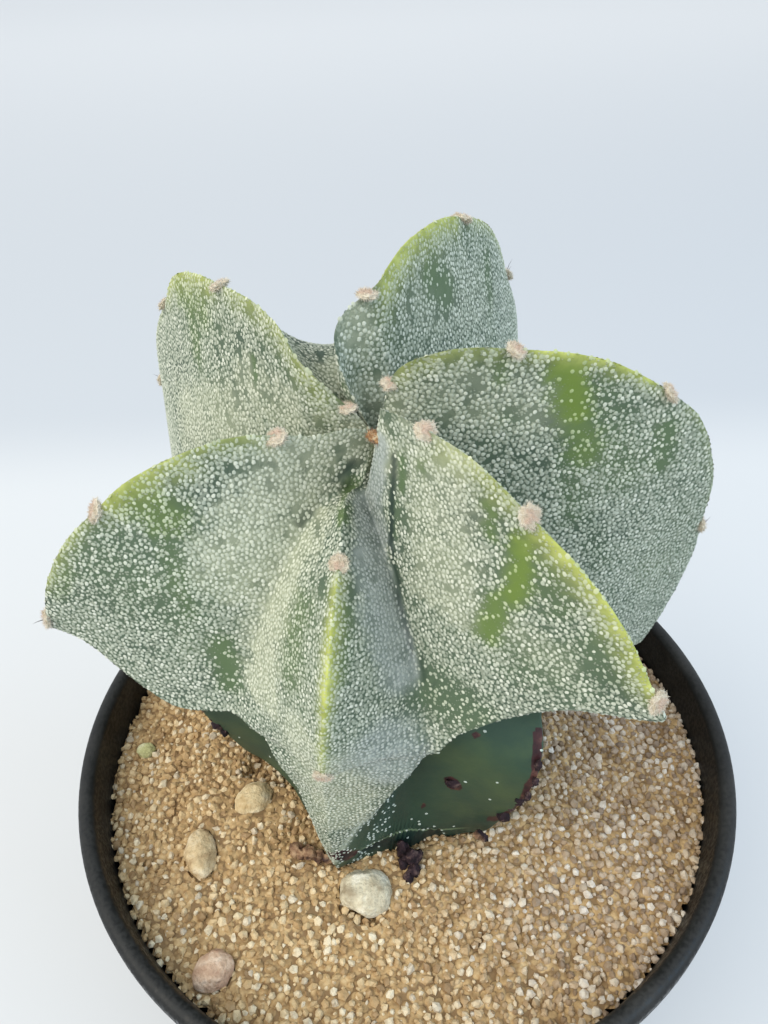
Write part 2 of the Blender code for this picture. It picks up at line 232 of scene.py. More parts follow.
def makeDotGroup():
    # fine round dots whose number and size follow Cover
    group, start, end = startGroup(
        "woolDots",
        (("Place", "NodeSocketVector", None), ("Scale", "NodeSocketFloat", 1500.0),
         ("Cover", "NodeSocketFloat", 0.5)),
        (("Mask", "NodeSocketFloat"), ("Height", "NodeSocketFloat")))
    cells = addNode(group, "ShaderNodeTexVoronoi", {
        "Vector": start.outputs["Place"], "Scale": start.outputs["Scale"]})
    distance = cells.outputs["Distance"]
    reach = scaled(group, start.outputs["Cover"], 0.62)
    inside = maths(group, "SUBTRACT", reach, distance)
    mask = spread(group, inside, -0.06, 0.12)
    group.links.new(mask, end.inputs["Mask"])
    height = maths(group, "SUBTRACT", 1.0, distance)
    group.links.new(scaled(group, height, mask), end.inputs["Height"])
    return group


mottleGroup = makeMottleGroup()
dotGroup = makeDotGroup()


def mottle(tree, place, scale, contrast=1.0):
    node = addNode(tree, "ShaderNodeGroup", node_tree=mottleGroup)
    tree.links.new(place, node.inputs["Place"])
    node.inputs["Scale"].default_value = scale
    node.inputs["Contrast"].default_value = contrast
    return node.outputs["Value"]


def dots(tree, place, scale, cover):
    node = addNode(tree, "ShaderNodeGroup", node_tree=dotGroup)
    tree.links.new(place, node.inputs["Place"])
    node.inputs["Scale"].default_value = scale
    if isinstance(cover, bpy.types.NodeSocket):
        tree.links.new(cover, node.inputs["Cover"])
    else:
        node.inputs["Cover"].default_value = cover
    return node.outputs


def addBump(tree, shader, height, distance, strength=1.0):
    bump = addNode(tree, "ShaderNodeBump", {
        "Height": height, "Distance": distance, "Strength": strength})
    tree.links.new(bump.outputs["Normal"], shader.inputs["Normal"])


# The plant's body: the frame's six-ribbed form with finer faces, its skirt and back ribs
# set a little closer to the photo

plant = {
    "crown": Vector((-0.0061, -0.0032, 0.1512)),
    "lean": Vector((-0.069, -0.232, 1.0)).normalized(),
    "centreDepth": 0.0262,
    "crownShift": Vector((0.0036, 0.0004, 0.0)),
    "shiftEnds": 15,
    "columnsPerRib": 50,
    "rings": 220,
    "ringShares": (0.62, 0.74),     # shares of the rings above the skirt's edge and across it
    "skirtAngle": 126,
    "skirtSpread": 5,
    "rootedSpread": 8,
    "curlEnds": 20,
    "ridgeFade": (125, 150),
    "valleyFade": (156, 180),
    "cornerSpread": 13,
    "grooveStarts": (4, 40),
    "deepen": 0.35,                 # how far a shallow valley deepens towards the skirt
    "deepenAt": (70, 100),
    "upright": (84, 122),
    "ridgeStarts": (2, 10),
    "crenation": 0.0007,            # how far the ridge swells between its areoles
    "notch": 7,
    "fullness": 0.10,
    "deepest": 0.97,                # the groove stays this far within the ridge
    "ridgeRound": 0.020,            # how softly the ridges and grooves turn
    "grooveRound": 0.012,
    "lumpsStart": (3, 12),
    "lumps": 0.00030,
    "lumpScale": 95,
    "grain": 0.00008,
    "grainScale": 520,
    "tuckDepth": 0.0013,
    "feltBelow": 0.140,             # lower than this the felt keeps to the front rib
}
youngRidgeLine = ((0, .0236), (4, .0272), (9, .0312), (20, .0362), (36, .0404), (55, .0445),
                  (75, .0475), (90, .0492), (110, .0505), (130, .0520), (180, .0570))
youngGrooveLine = ((0, .0236), (6, .0208), (16, .0192), (34, .0192), (52, .0198), (72, .0218),
                   (90, .0252), (106, .0288), (124, .0315), (140, .0370), (150, .0460),
                   (180, .0570))
oldRidgeLine = ((0, .0236), (60, .0285), (80, .0305), (98, .0322), (106, .0341), (116, .0367),
                (128, .0397), (140, .0440), (150, .0490), (157, .0510), (164, .0530),
                (172, .0555), (180, .0570))
oldGrooveLine = ((0, .0200), (60, .0195), (90, .0200), (110, .0216), (124, .0242), (135, .0290),
                 (144, .0360), (149, .0420), (152, .0475), (157, .0500), (164, .0525),
                 (172, .0550), (180, .0570))
# stripes: yellow-green lines along the ridge, as (from angle, to angle, strength, width)
ribs = (
    {"name": "front", "facing": 262.3, "turn": -14, "curl": 12, "crown": 0.60, "skirt": 0.64,
     "fullness": (0.10, 0.10), "rooted": 102, "foot": 0.84, "ends": 146, "edge": (0.0, 0.9),
     "lineAfter": ((0.0, 146), (0.3, 140), (0.5, 138), (0.7, 133), (0.85, 124), (1.0, 112)),
     "areoles": (36, 94), "valley": {"young": 1.0, "old": 1.0, "ends": 112},
     "stripes": ((38, 52, 0.7, 0.00080), (48, 72, 1.0, 0.00090), (68, 96, 0.7, 0.00070))},
    {"name": "rightFront", "facing": 312.0, "turn": -5, "curl": 0, "crown": 1.03, "skirt": 1.04,
     "fullness": (0.10, 0.10), "rooted": 180, "foot": 1.0, "ends": 73, "edge": (0.25, 1.0),
     "lineBefore": ((0.0, 73), (0.2, 75), (0.4, 80), (0.6, 87), (0.8, 96), (1.0, 112)),
     "areoles": (21, 39, 66), "valley": {"young": 1.0, "old": 1.0, "ends": 98},
     "stripes": ((23, 38, 0.6, 0.00065), (40, 66, 1.0, 0.00065))},
    {"name": "right", "facing": 362.4, "turn": -6, "curl": 16, "crown": 1.05, "skirt": 0.90,
     "fullness": (0.10, 0.10), "rooted": 180, "foot": 1.0, "ends": 121, "edge": (0.0, 1.0),
     "areoles": (8, 30, 56, 90), "valley": {"young": 1.0, "old": 1.0, "ends": 104},
     "corner": (60, 0.0016), "spines": {90: 1},
     "stripes": ((10, 29, 0.5, 0.00040), (31, 54, 1.0, 0.00042), (60, 86, 0.3, 0.00040))},
    {"name": "back", "facing": 421.3, "turn": -7, "curl": 66, "crown": 1.09, "skirt": 1.05,
     "fullness": (0.10, -0.05), "rooted": 180, "foot": 1.0, "ends": 108, "edge": (0.0, 1.0),
     "areoles": (17, 49, 76, 98), "valley": {"young": 1.5, "old": 1.0, "ends": 106},
     "corner": (58, 0.0006), "spines": {76: 2, 98: 1},
     "stripes": ((19, 47, 1.0, 0.00072), (51, 74, 0.6, 0.00058))},
    {"name": "leftBack", "facing": 489.0, "turn": 14, "curl": 20, "crown": 0.97, "skirt": 1.06,
     "fullness": (-0.16, 0.10), "rooted": 180, "foot": 1.0, "ends": 104, "edge": (0.0, 1.0),
     "areoles": (5, 37, 64, 88), "valley": {"young": 1.0, "old": 0.95, "ends": 104},
     "corner": (52, 0.0010), "spines": {88: 1},
     "stripes": ((8, 36, 0.5, 0.00072), (39, 62, 0.8, 0.00086), (66, 86, 0.4, 0.00058))},
    {"name": "left", "facing": 557.2, "turn": 2, "curl": 8, "crown": 0.84, "skirt": 0.91,
     "fullness": (0.10, 0.10), "rooted": 180, "foot": 0.88, "footEnds": (158, 178),
     "ends": 83, "edge": (0.0, 0.7),
     "areoles": (15, 49, 77, 106), "valley": {"young": 1.0, "old": 0.86, "ends": 105},
     "corner": (48, 0.0009), "spines": {77: 1, 106: 1},
     "stripes": ((17, 34, 0.5, 0.00065), (30, 50, 0.75, 0.00100), (51, 68, 0.55, 0.00060))},
)

# Patches on the skin: both ends and the radius in millimetres, and the strength.
# Where the skin shows through the wool, a hue from blue-green (0) to yellow-green (1) follows.
barePatches = (
    ((18.6, -3.6, 157.5), (20.1, -3.7, 152.6), 2.1, 1.00, 0.95),
    ((20.1, -3.7, 152.6), (21.9, -3.8, 146.8), 1.8, 0.80, 0.75),
    ((31.9, -1.8, 148.6), (31.8, -1.9, 143.8), 1.4, 0.85, 0.3),
    ((22.7, -3.2, 155.4), (26.9, -3.0, 143.2), 2.4, 0.3, 0.5),
    ((11.2, -4.1, 159.1), (11.4, -4.1, 157.1), 0.8, 0.56, 0.6),
    ((20.0, -4.2, 146.7), (21.1, -5.1, 137.4), 1.1, 0.42, 0.4),
    ((12.2, -4.3, 152.7), (13.0, -4.3, 152.5), 0.7, 0.56, 0.2),
    ((21.5, -4.8, 140.3), (26.0, -4.6, 129.9), 1.6, 0.24, 0.3),
    ((11.3, -24.0, 151.1), (11.0, -24.4, 144.7), 1.4, 1.00, 0.9),
    ((9.6, -23.4, 143.1), (8.7, -23.3, 137.8), 1.3, 0.90, 0.75),
    ((13.1, -25.6, 150.6), (14.6, -27.3, 146.2), 1.9, 0.42, 0.5),
    ((8.2, -20.9, 153.6), (8.6, -21.3, 152.6), 0.6, 0.90, 0.5),
    ((8.3, -21.1, 151.2), (8.8, -21.6, 150.3), 0.7, 0.90, 0.6),
    ((0.4, -12.2, 153.1), (0.3, -12.3, 149.2), 0.6, 1.00, 0.3),
    ((-0.2, -11.9, 147.3), (-0.5, -12.3, 141.8), 0.4, 0.56, 0.2),
    ((2.2, -14.4, 153.9), (2.3, -14.6, 153.0), 0.6, 0.56, 0.5),
    ((18.1, -30.2, 143.6), (18.7, -30.6, 140.1), 1.8, 0.59, 0.2),
    ((2.9, -20.7, 125.3), (7.2, -24.1, 125.4), 3.1, 0.75, 0.15),
    ((-11.7, -16.7, 135.7), (-13.2, -20.5, 129.8), 2.1, 0.35, 0.6),
    ((-6.4, -19.5, 138.4), (-7.3, -24.2, 132.2), 0.9, 0.42, 0.5),
    ((-29.1, -10.1, 147.7), (-25.8, -10.4, 144.5), 2.5, 0.45, 1.0),
    ((-26.7, -10.9, 142.7), (-25.8, -13.2, 132.7), 1.4, 0.42, 0.5),
    ((-22.3, -14.2, 127.1), (-22.0, -15.3, 121.8), 1.5, 0.85, 0.35),
    ((-36.4, -11.3, 142.0), (-40.6, -11.5, 135.2), 1.3, 0.28, 0.8),
    ((-27.3, 22.8, 156.8), (-23.9, 17.4, 156.1), 2.0, 0.35, 1.0),
    ((-25.7, 19.4, 154.1), (-25.6, 17.6, 150.2), 1.4, 0.49, 0.6),
    ((-16.7, 7.6, 154.0), (-16.9, 7.1, 151.8), 0.6, 0.90, 0.4),
    ((5.1, 14.5, 161.1), (7.2, 16.6, 157.9), 2.0, 0.90, 0.3),
    ((13.8, 29.6, 156.1), (14.3, 27.3, 151.4), 1.5, 0.56, 0.3),
    ((-5.6, -0.4, 155.1), (-6.2, -1.4, 153.7), 0.5, 0.42, 0.6),
    ((-34.0, -11.6, 139.9), (-28.7, -12.8, 134.2), 5.2, 0.32, 0.3),
    ((-2.3, -6.0, 151.5), (-5.4, -4.6, 143.6), 0.75, 0.75, 0.6),
    ((-5.6, -4.4, 143.1), (-6.6, -11.0, 143.9), 0.75, 0.7, 0.6),
    ((13.6, -27.2, 136.7), (19.6, -31.3, 141.4), 3.5, 0.34, 0.3),
)
# Fine lavender-grey felt on the narrow flank right of the front ridge
feltPatches = (
    ((-1.7, -9.4, 153.1), (-2.4, -8.3, 148.8), 1.3, 1.0),
    ((-2.4, -8.3, 148.8), (-3.4, -7.2, 142.1), 2.0, 1.0),
    ((-3.4, -7.2, 142.1), (-3.4, -13.2, 139.6), 2.4, 1.0),
    ((-3.4, -13.2, 139.6), (-2.4, -17.0, 135.4), 2.7, 1.0),
    ((-2.4, -17.0, 135.4), (-0.3, -19.5, 128.6), 3.2, 0.9),
    ((-3.4, -24.4, 119.0), (-1.0, -22.4, 114.0), 4.4, 0.7),
)
# Matted wool, where the flecks run together
thickPatches = (
    ((-11.0, -5.2, 149.0), (-18.7, -11.0, 138.5), 5.0, 0.9),
    ((-11.6, -7.7, 141.4), (-17.5, -18.9, 122.3), 3.6, 1.0),
    ((-20.6, 8.6, 145.0), (-29.0, 17.8, 139.4), 4.6, 0.75),
    ((-17.8, 8.0, 151.3), (-12.6, 2.6, 150.1), 2.8, 0.7),
    ((3.9, -16.3, 156.9), (4.0, -19.3, 135.9), 4.4, 0.7),
    ((12.1, -21.1, 140.1), (15.1, -28.0, 138.5), 2.5, 0.4),
    ((-12.6, -24.6, 122.0), (-10.3, -23.0, 105.9), 3.2, 0.8),
    ((-9.0, -25.5, 118.0), (-8.0, -24.4, 96.0), 4.0, 0.8),
    ((-4.5, -4.0, 150.0), (0.0, -9.0, 152.0), 3.5, 0.8),
    ((-4.5, 3.1, 161.0), (-7.3, 8.9, 151.4), 2.6, 0.9),
    ((-2.6, 2.4, 151.1), (-0.4, -3.1, 153.4), 3.6, 0.6),
    ((7.1, -4.3, 155.6), (17.2, -4.0, 153.6), 3.6, 0.45),
    ((4.3, 12.2, 159.0), (12.9, 25.4, 153.6), 4.1, 0.3),
)
# Where the foot tucks under above the sand, dented in and darkened with painted shade, and the wool
# along that fold
tuckPatches = (
    ((-5.6, -19.6, 86.6), (3.6, -18.4, 84.9), 2.1, 1.0),
)
foldPatches = (
    ((-7.0, -19.9, 89.2), (-1.0, -18.7, 89.4), 0.9, 0.55),
    ((-1.0, -18.7, 89.4), (5.6, -18.4, 87.4), 0.9, 0.55),
    ((5.4, -18.6, 87.4), (10.0, -19.4, 87.0), 1.0, 0.6),
)
# Creases down the bottom of the front valleys, with less wool and darkened with painted shade
creasePatches = (
    ((-0.4, -11.2, 152.7), (-0.8, -11.1, 146.6), 0.45, 1.0),
    ((-0.8, -11.1, 146.6), (-1.1, -11.7, 140.5), 0.45, 1.0),
    ((-1.1, -11.7, 140.5), (-0.2, -14.8, 134.6), 0.45, 0.9),
    ((-0.2, -14.8, 134.6), (0.9, -17.6, 129.9), 0.5, 0.7),
    ((0.9, -17.6, 129.9), (2.9, -20.5, 126.0), 0.5, 0.6),
    ((-5.2, -3.6, 146.5), (-11.7, -7.9, 140.8), 0.45, 0.7),
)
# Brown and maroon scars, mostly on the old foot
scarPatches = (
    ((6.1, -19.2, 103.3), (6.7, -19.3, 101.9), 1.1, 1.0),
    ((9.0, -20.0, 114.8), (9.1, -20.0, 114.6), 0.6, 0.9),
    ((1.8, -18.2, 95.3), (2.4, -18.2, 95.1), 0.5, 0.8),
    ((16.4, -21.2, 116.9), (16.4, -22.9, 109.7), 0.6, 1.0),
    ((16.4, -22.9, 109.7), (15.2, -21.5, 98.2), 0.65, 1.0),
    ((15.2, -21.5, 98.2), (13.0, -19.5, 92.7), 0.7, 1.0),
    ((13.0, -19.5, 92.7), (9.0, -19.8, 87.0), 0.9, 1.0),
    ((-10.6, -22.9, 91.0), (-8.4, -22.0, 88.8), 1.2, 1.0),
    ((-16.0, -18.6, 85.0), (-14.4, -20.2, 86.0), 1.2, 0.9),
    ((-30.5, -7.2, 103.8), (-30.3, -7.2, 103.0), 0.5, 0.9),
)


def ribFacing(rib, angle):
    drift = min(angle / plant["skirtAngle"], 1.0) - 0.5
    curl = rib["curl"] * (1 - ease(angle, 0, plant["curlEnds"]))
    return math.radians(rib["facing"] + rib["turn"] * drift + curl)


def oldRidge(rib, angle):
    fade = rib.get("footEnds", plant["ridgeFade"])
    size = rib["foot"] + (1 - rib["foot"]) * ease(angle, *fade)
    return smoothRead(oldRidgeLine, angle) * size


def oldGroove(valley, angle):
    size = valley["old"] + (1 - valley["old"]) * ease(angle, *plant["valleyFade"])
    return smoothRead(oldGrooveLine, angle) * size


def youngGroove(valley, angle):
    shallow = 1 - plant["deepen"] * ease(angle, *plant["deepenAt"])
    size = 1 + (valley["young"] - 1) * ease(angle, *plant["grooveStarts"]) * shallow
    return smoothRead(youngGrooveLine, angle) * size


def youngRidge(rib, angle):
    down = min(angle / plant["skirtAngle"], 1.0)
    started = ease(angle, *plant["ridgeStarts"])
    scale = 1 + (rib["crown"] + (rib["skirt"] - rib["crown"]) * down - 1) * started
    nearest = min(abs(angle - areole) for areole in rib["areoles"])
    swell = plant["crenation"] * started * (1 - math.exp(-((nearest / plant["notch"]) ** 2)))
    young = smoothRead(youngRidgeLine, angle) * scale + swell
    if "corner" in rib:      # a fuller shoulder
        at, fuller = rib["corner"]
        young += fuller * math.exp(-(((angle - at) / plant["cornerSpread"]) ** 2))
    rooted = ease(angle, rib["rooted"] - plant["rootedSpread"], rib["rooted"] + plant["rootedSpread"])
    return young + (oldRidge(rib, angle) - young) * rooted


def chordReach(ridge, groove, width, offset, fullness):
    groove = min(groove, ridge * plant["deepest"])
    chord = ridge * groove * math.sin(width)
    chord /= ridge * math.sin(offset) + groove * math.sin(width - offset)
    return chord * (1 + fullness * (1 - groove / ridge) * math.sin(math.pi * offset / width))


def edgeAngle(rib, valley, toward):
    line = rib.get("lineAfter" if valley is rib["valley"] else "lineBefore")
    if line:
        return smoothRead(line, toward)
    return rib["ends"] + (valley["ends"] - rib["ends"]) * ease(toward, *rib["edge"])


def youngShare(angle, ends):
    return 1 - ease(angle, ends - plant["skirtSpread"], ends + plant["skirtSpread"])


def softTurn(toward):
    # rounds ridge and groove, with the ridge's own reach kept
    soft = math.hypot(toward, plant["ridgeRound"]) - plant["ridgeRound"] * (1 - toward)
    return min(soft, 1 - math.hypot(1 - min(soft, 1.0), plant["grooveRound"]))


def flankReach(rib, valley, angle, width, toward):
    fullness = rib["fullness"][1 if valley is rib["valley"] else 0]
    young = chordReach(
        youngRidge(rib, angle), youngGroove(valley, angle), width, toward * width, fullness)
    old = chordReach(
        oldRidge(rib, angle), oldGroove(valley, angle), width, toward * width, plant["fullness"])
    return old + (young - old) * youngShare(angle, edgeAngle(rib, valley, toward))


def ridgeReach(rib, angle):
    old = oldRidge(rib, angle)
    return old + (youngRidge(rib, angle) - old) * youngShare(angle, rib["ends"])


def ringAngle(part, ends):
    above, below = plant["ringShares"]
    low, high = ends - plant["skirtSpread"], ends + plant["skirtSpread"]
    if part < above:
        return low * part / above
    if part < below:
        return low + (high - low) * (part - above) / (below - above)
    return high + (180 - high) * (part - below) / (1 - below)


def bodyFrame(angle):
    up = plant["lean"].lerp(Vector((0, 0, 1)), ease(angle, *plant["upright"])).normalized()
    right = (Vector((1, 0, 0)) - up * up.x).normalized()
    return right, up.cross(right), up


bodyCentre = plant["crown"] - plant["lean"] * plant["centreDepth"]


def bodyPoint(facing, angle, reach):
    right, away, up = bodyFrame(angle)
    polar = math.radians(angle)
    level = right * math.cos(facing) + away * math.sin(facing)
    outward = level * math.sin(polar) + up * math.cos(polar)
    shift = plant["crownShift"] * (1 - ease(angle, 0, plant["shiftEnds"]))
    return bodyCentre + outward * reach + shift, outward


marks = {
    "hue": 0.5,                     # where no patch reaches
    "patchSoft": (0.6, 1.5),        # where a patch fades out, in radii
    "bareSoft": (0.3, 1.8),
    "patchLimit": 2.2,
    "patchSearch": 0.02,
    "stripeFade": 3,
    "fray": ((0.45, 700), (0.35, 1900)),    # strength and scale of the frayed edges
    "feltFray": 0.4,
    "creaseFray": 0.3,
    "stripeFray": 0.3,
    "holeScale": 620,               # small bare spots in the wool near the crown
    "holeShift": Vector((3, 1, 7)),
    "holes": (0.24, 0.42),
    "holesEnd": (40, 62),
    "woolLost": {"bare": 0.82, "stripe": 0.35, "holes": 0.8, "crease": 0.85},
    "stripeShows": (0.4, 0.9),
    "underSkirt": (3, 7, 9, 16),    # degrees past the skirt's edge where some wool stays
    "underWool": 0.4,
    "oldWool": 0.008,
    "foldWool": 0.5,
    "creaseShade": 0.75,
    "rimAt": 1.5,
    "rimWidth": 1.3,
}


def readyPatches(patches):
    ready = []
    for start, end, radius, strength, *hue in patches:
        first = Vector(start) / 1000
        along = Vector(end) / 1000 - first
        square = max(along.length_squared, 1e-12)       # never zero, for round patches
        ready.append((first, along, square, radius / 1000, strength, hue[0] if hue else 0.0))
    return ready


def patchAt(patches, spot, wobble, soft=marks["patchSoft"]):
    # strongest patch at a spot, with edges frayed by noise, and its hue
    best, bestHue = 0.0, marks["hue"]
    for first, along, length, radius, strength, hue in patches:
        offset = spot - first
        if max(abs(offset.z), abs(offset.x)) > marks["patchSearch"]:
            continue
        share = min(max(offset.dot(along) / length, 0.0), 1.0)
        away = (offset - along * share).length / radius
        if away > marks["patchLimit"]:
            continue
        level = strength * (1 - ease(away + wobble, *soft))
        if level > best:
            best, bestHue = level, hue
    return best, bestHue


def stripeAt(rib, angle, arc):
    level = 0.0
    for low, high, strength, width in rib["stripes"]:
        fade = marks["stripeFade"]
        along = ease(angle, low - fade, low + fade) * (1 - ease(angle, high - fade, high + fade))
        level = max(level, strength * along * math.exp(-((arc / width) ** 2)))
    return level


def holesAt(spot, angle):
    level = ease(noise.noise(spot * marks["holeScale"] + marks["holeShift"]), *marks["holes"])
    return level * (1 - ease(angle, *marks["holesEnd"]))


def woolAt(young, angle, ends, levels):
    # how thick the flecks stand, from the levels of the other marks
    wool = young
    for name, lost in marks["woolLost"].items():
        wool *= 1 - lost * levels[name]
    opens, opened, closes, closed = (ends + degrees for degrees in marks["underSkirt"])
    under = ease(angle, opens, opened) * (1 - ease(angle, closes, closed))
    least = (marks["underWool"] * under * (1 - young), marks["oldWool"] * (1 - young),
             marks["foldWool"] * levels["fold"])
    return max(wool, *least)


def buildBody(material):
    columns = plant["columnsPerRib"] * len(ribs)
    bm = bmesh.new()
    bmesh.ops.create_uvsphere(bm, u_segments=columns, v_segments=plant["rings"], radius=1.0)
    names = ("stripe", "bare", "hue", "wool", "thick", "felt", "scar", "old", "rim", "paintedShade",
             "ribNumber")
    layers = {name: bm.verts.layers.float.new(name) for name in names}
    bare, felt, thick, paintedShade, fold, creases, scars = (readyPatches(p) for p in (
        barePatches, feltPatches, thickPatches, tuckPatches, foldPatches, creasePatches, scarPatches))
    for vert in bm.verts:
        part = math.acos(min(max(vert.co.z, -1.0), 1.0)) / math.pi
        column = round(math.atan2(vert.co.y, vert.co.x) / math.tau * columns) % columns
        index, step = divmod(column, plant["columnsPerRib"])
        share = 0.5 - 0.5 * math.cos(math.pi * step / plant["columnsPerRib"])
        rib, other = ribs[index], ribs[(index + 1) % len(ribs)]
        closest = rib if share < 0.5 else other
        sharp = 1 - abs(2 * share - 1)
        toward = softTurn(sharp)
        valley = rib["valley"]
        ends = edgeAngle(closest, valley, sharp)
        angle = ringAngle(part, ends)
        near = ribFacing(rib, angle)
        far = ribFacing(other, angle) + (math.tau if other is ribs[0] else 0.0)
        width = (far - near) / 2
        reach = flankReach(closest, valley, angle, width, toward)
        spot, outward = bodyPoint(near + share * (far - near), angle, reach)
        young = youngShare(angle, ends)
        swell = plant["lumps"] * noise.noise(spot * plant["lumpScale"])
        swell += plant["grain"] * noise.noise(spot * plant["grainScale"])
        swell *= ease(angle, *plant["lumpsStart"])
        vert.co = spot + outward * swell
        # marks
        arc = sharp * width * reach * math.sin(math.radians(angle))
        wobble = sum(strength * noise.noise(spot * scale) for strength, scale in marks["fray"])
        bareLevel, hue = patchAt(bare, spot, wobble, marks["bareSoft"])
        feltLevel, _ = patchAt(felt, spot, wobble * marks["feltFray"])
        if spot.z < plant["feltBelow"]:
            feltLevel *= closest is ribs[0]
        scarLevel, _ = patchAt(scars, spot, wobble)
        stripe = stripeAt(closest, angle, arc * (1 + marks["stripeFray"] * wobble)) * young
        thickLevel, _ = patchAt(thick, spot, wobble)
        creaseLevel, _ = patchAt(creases, spot, wobble * marks["creaseFray"])
        tuckLevel, _ = patchAt(paintedShade, spot, 0.0)
        foldLevel, _ = patchAt(fold, spot, 0.0)
        vert.co -= outward * plant["tuckDepth"] * tuckLevel
        levels = {"bare": bareLevel, "stripe": ease(stripe, *marks["stripeShows"]),
                  "holes": holesAt(spot, angle), "crease": creaseLevel, "fold": foldLevel}
        vert[layers["stripe"]] = stripe
        vert[layers["bare"]] = bareLevel
        vert[layers["hue"]] = hue
        vert[layers["wool"]] = woolAt(young, angle, ends, levels)
        vert[layers["thick"]] = thickLevel * young * (1 - bareLevel)
        # Painted shade layer: full under the tucked foot, weaker down the valley creases
        vert[layers["paintedShade"]] = max(tuckLevel, marks["creaseShade"] * creaseLevel)
        vert[layers["felt"]] = feltLevel * young
        vert[layers["scar"]] = scarLevel
        vert[layers["old"]] = 1 - young
        vert[layers["rim"]] = math.exp(-(((angle - ends + marks["rimAt"]) / marks["rimWidth"]) ** 2))
        vert[layers["ribNumber"]] = float(ribs.index(closest))
    bmesh.ops.recalc_face_normals(bm, faces=bm.faces)
    steadyOrder(bm)
    return makePiece("cactusBody", bm, material)


# The pale line where the foot folds under, in metres: its height at both ends and its reach
foldLine = {"left": 0.0893, "right": 0.0873, "bendFrom": -0.002, "bendTo": 0.005,
            "startsAt": -0.008, "endsAt": 0.010, "fade": 0.0025, "front": -0.016,
            "frontFade": 0.001, "half": 0.0005}


def foldMask(tree, place):
    split = addNode(tree, "ShaderNodeSeparateXYZ", {0: place})
    x, y, z = split.outputs
    level = spread(tree, x, foldLine["bendFrom"], foldLine["bendTo"],
                   foldLine["left"], foldLine["right"])
    away = maths(tree, "ABSOLUTE", maths(tree, "SUBTRACT", z, level))
    mask = spread(tree, away, 0.0, foldLine["half"], 1.0, 0.0)
    opens = spread(tree, x, foldLine["startsAt"], foldLine["startsAt"] + foldLine["fade"])
    closes = spread(tree, x, foldLine["endsAt"] - foldLine["fade"], foldLine["endsAt"], 1.0, 0.0)
    front = spread(tree, y, foldLine["front"], foldLine["front"] + foldLine["frontFade"], 1.0, 0.0)
    for part in (opens, closes, front, mark(tree, "old")):
        mask = scaled(tree, mask, part)
    return mask


def makeSkinMaterial():
    material, tree, shader = startMaterial("cactusSkin", 0.62, 0.35)
    place = objectPlace(tree)
    broad = mottle(tree, place, 70.0, 1.6)
    fine = mottle(tree, place, 420.0, 1.4)
    deep = ramp(tree, broad, ((0.25, 60, 76, 64), (0.5, 78, 94, 76), (0.8, 92, 106, 82)))
    skinHue = ramp(tree, mark(tree, "hue"), (
        (0.0, 78, 96, 78), (0.5, 86, 108, 62), (1.0, 102, 124, 44)))
    colour = mixColour(tree, mark(tree, "bare"), deep, skinHue)
    oldGreen = ramp(tree, broad, ((0.2, 36, 60, 52), (0.5, 48, 72, 58), (0.8, 66, 86, 60)))
    colour = mixColour(tree, mark(tree, "old"), colour, oldGreen)
    lime = ramp(tree, fine, ((0.3, 146, 154, 72), (0.7, 186, 192, 104)))
    colour = mixColour(tree, mark(tree, "stripe"), colour, lime)
    # wool between the flecks
    woolly = mark(tree, "wool")
    thick = mark(tree, "thick")
    fleck = dots(tree, place, 2600.0, scaled(tree, woolly, 0.9))
    fleckColour = ramp(tree, fine, ((0.2, 146, 154, 136), (0.8, 190, 194, 174)))
    haze = maths(tree, "ADD", scaled(tree, fleck["Mask"], 0.5), scaled(tree, woolly, 0.05))
    colour = mixColour(tree, haze, colour, fleckColour)
    matted = scaled(tree, thick, spread(tree, fine, 0.15, 0.6, 0.15, 0.5))
    colour = mixColour(tree, matted, colour, paint(186, 189, 162))
    feltColour = ramp(tree, fine, ((0.3, 122, 132, 126), (0.7, 164, 171, 167)))
    colour = mixColour(tree, scaled(tree, mark(tree, "felt"), 0.8), colour, feltColour)
    rimLight = scaled(tree, mark(tree, "rim"), 0.65)
    colour = mixColour(tree, rimLight, colour, paint(192, 200, 178))
    # Painted shade: dark green where the foot tucks under and down the valley creases
    colour = mixColour(tree, mark(tree, "paintedShade"), colour, paint(26, 44, 42))
    colour = mixColour(tree, scaled(tree, foldMask(tree, place), 0.6), colour, paint(138, 160, 124))
    scarColour = ramp(tree, fine, ((0.3, 34, 20, 26), (0.6, 66, 38, 40), (0.8, 122, 88, 72)))
    frayed = maths(tree, "ADD", mark(tree, "scar"), scaled(tree, fine, 0.4))
    scarEdge = spread(tree, frayed, 0.55, 0.8)
    scarMask = scaled(tree, scarEdge, spread(tree, mark(tree, "scar"), 0.05, 0.3))
    colour = mixColour(tree, scarMask, colour, scarColour)
    setColour(tree, shader, colour)
    rough = spread(tree, woolly, 0.0, 0.6, 0.48, 0.9)
    tree.links.new(rough, shader.inputs["Roughness"])
    height = maths(tree, "ADD", scaled(tree, fleck["Height"], 0.7), scaled(tree, fine, 0.5))
    addBump(tree, shader, height, 0.00012, 0.8)
    return material


body = buildBody(makeSkinMaterial())
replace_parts(body, "cactus")
print("body:", len(body.data.polygons), "faces")


# Scattering of small shapes over a surface, realised as plain meshes

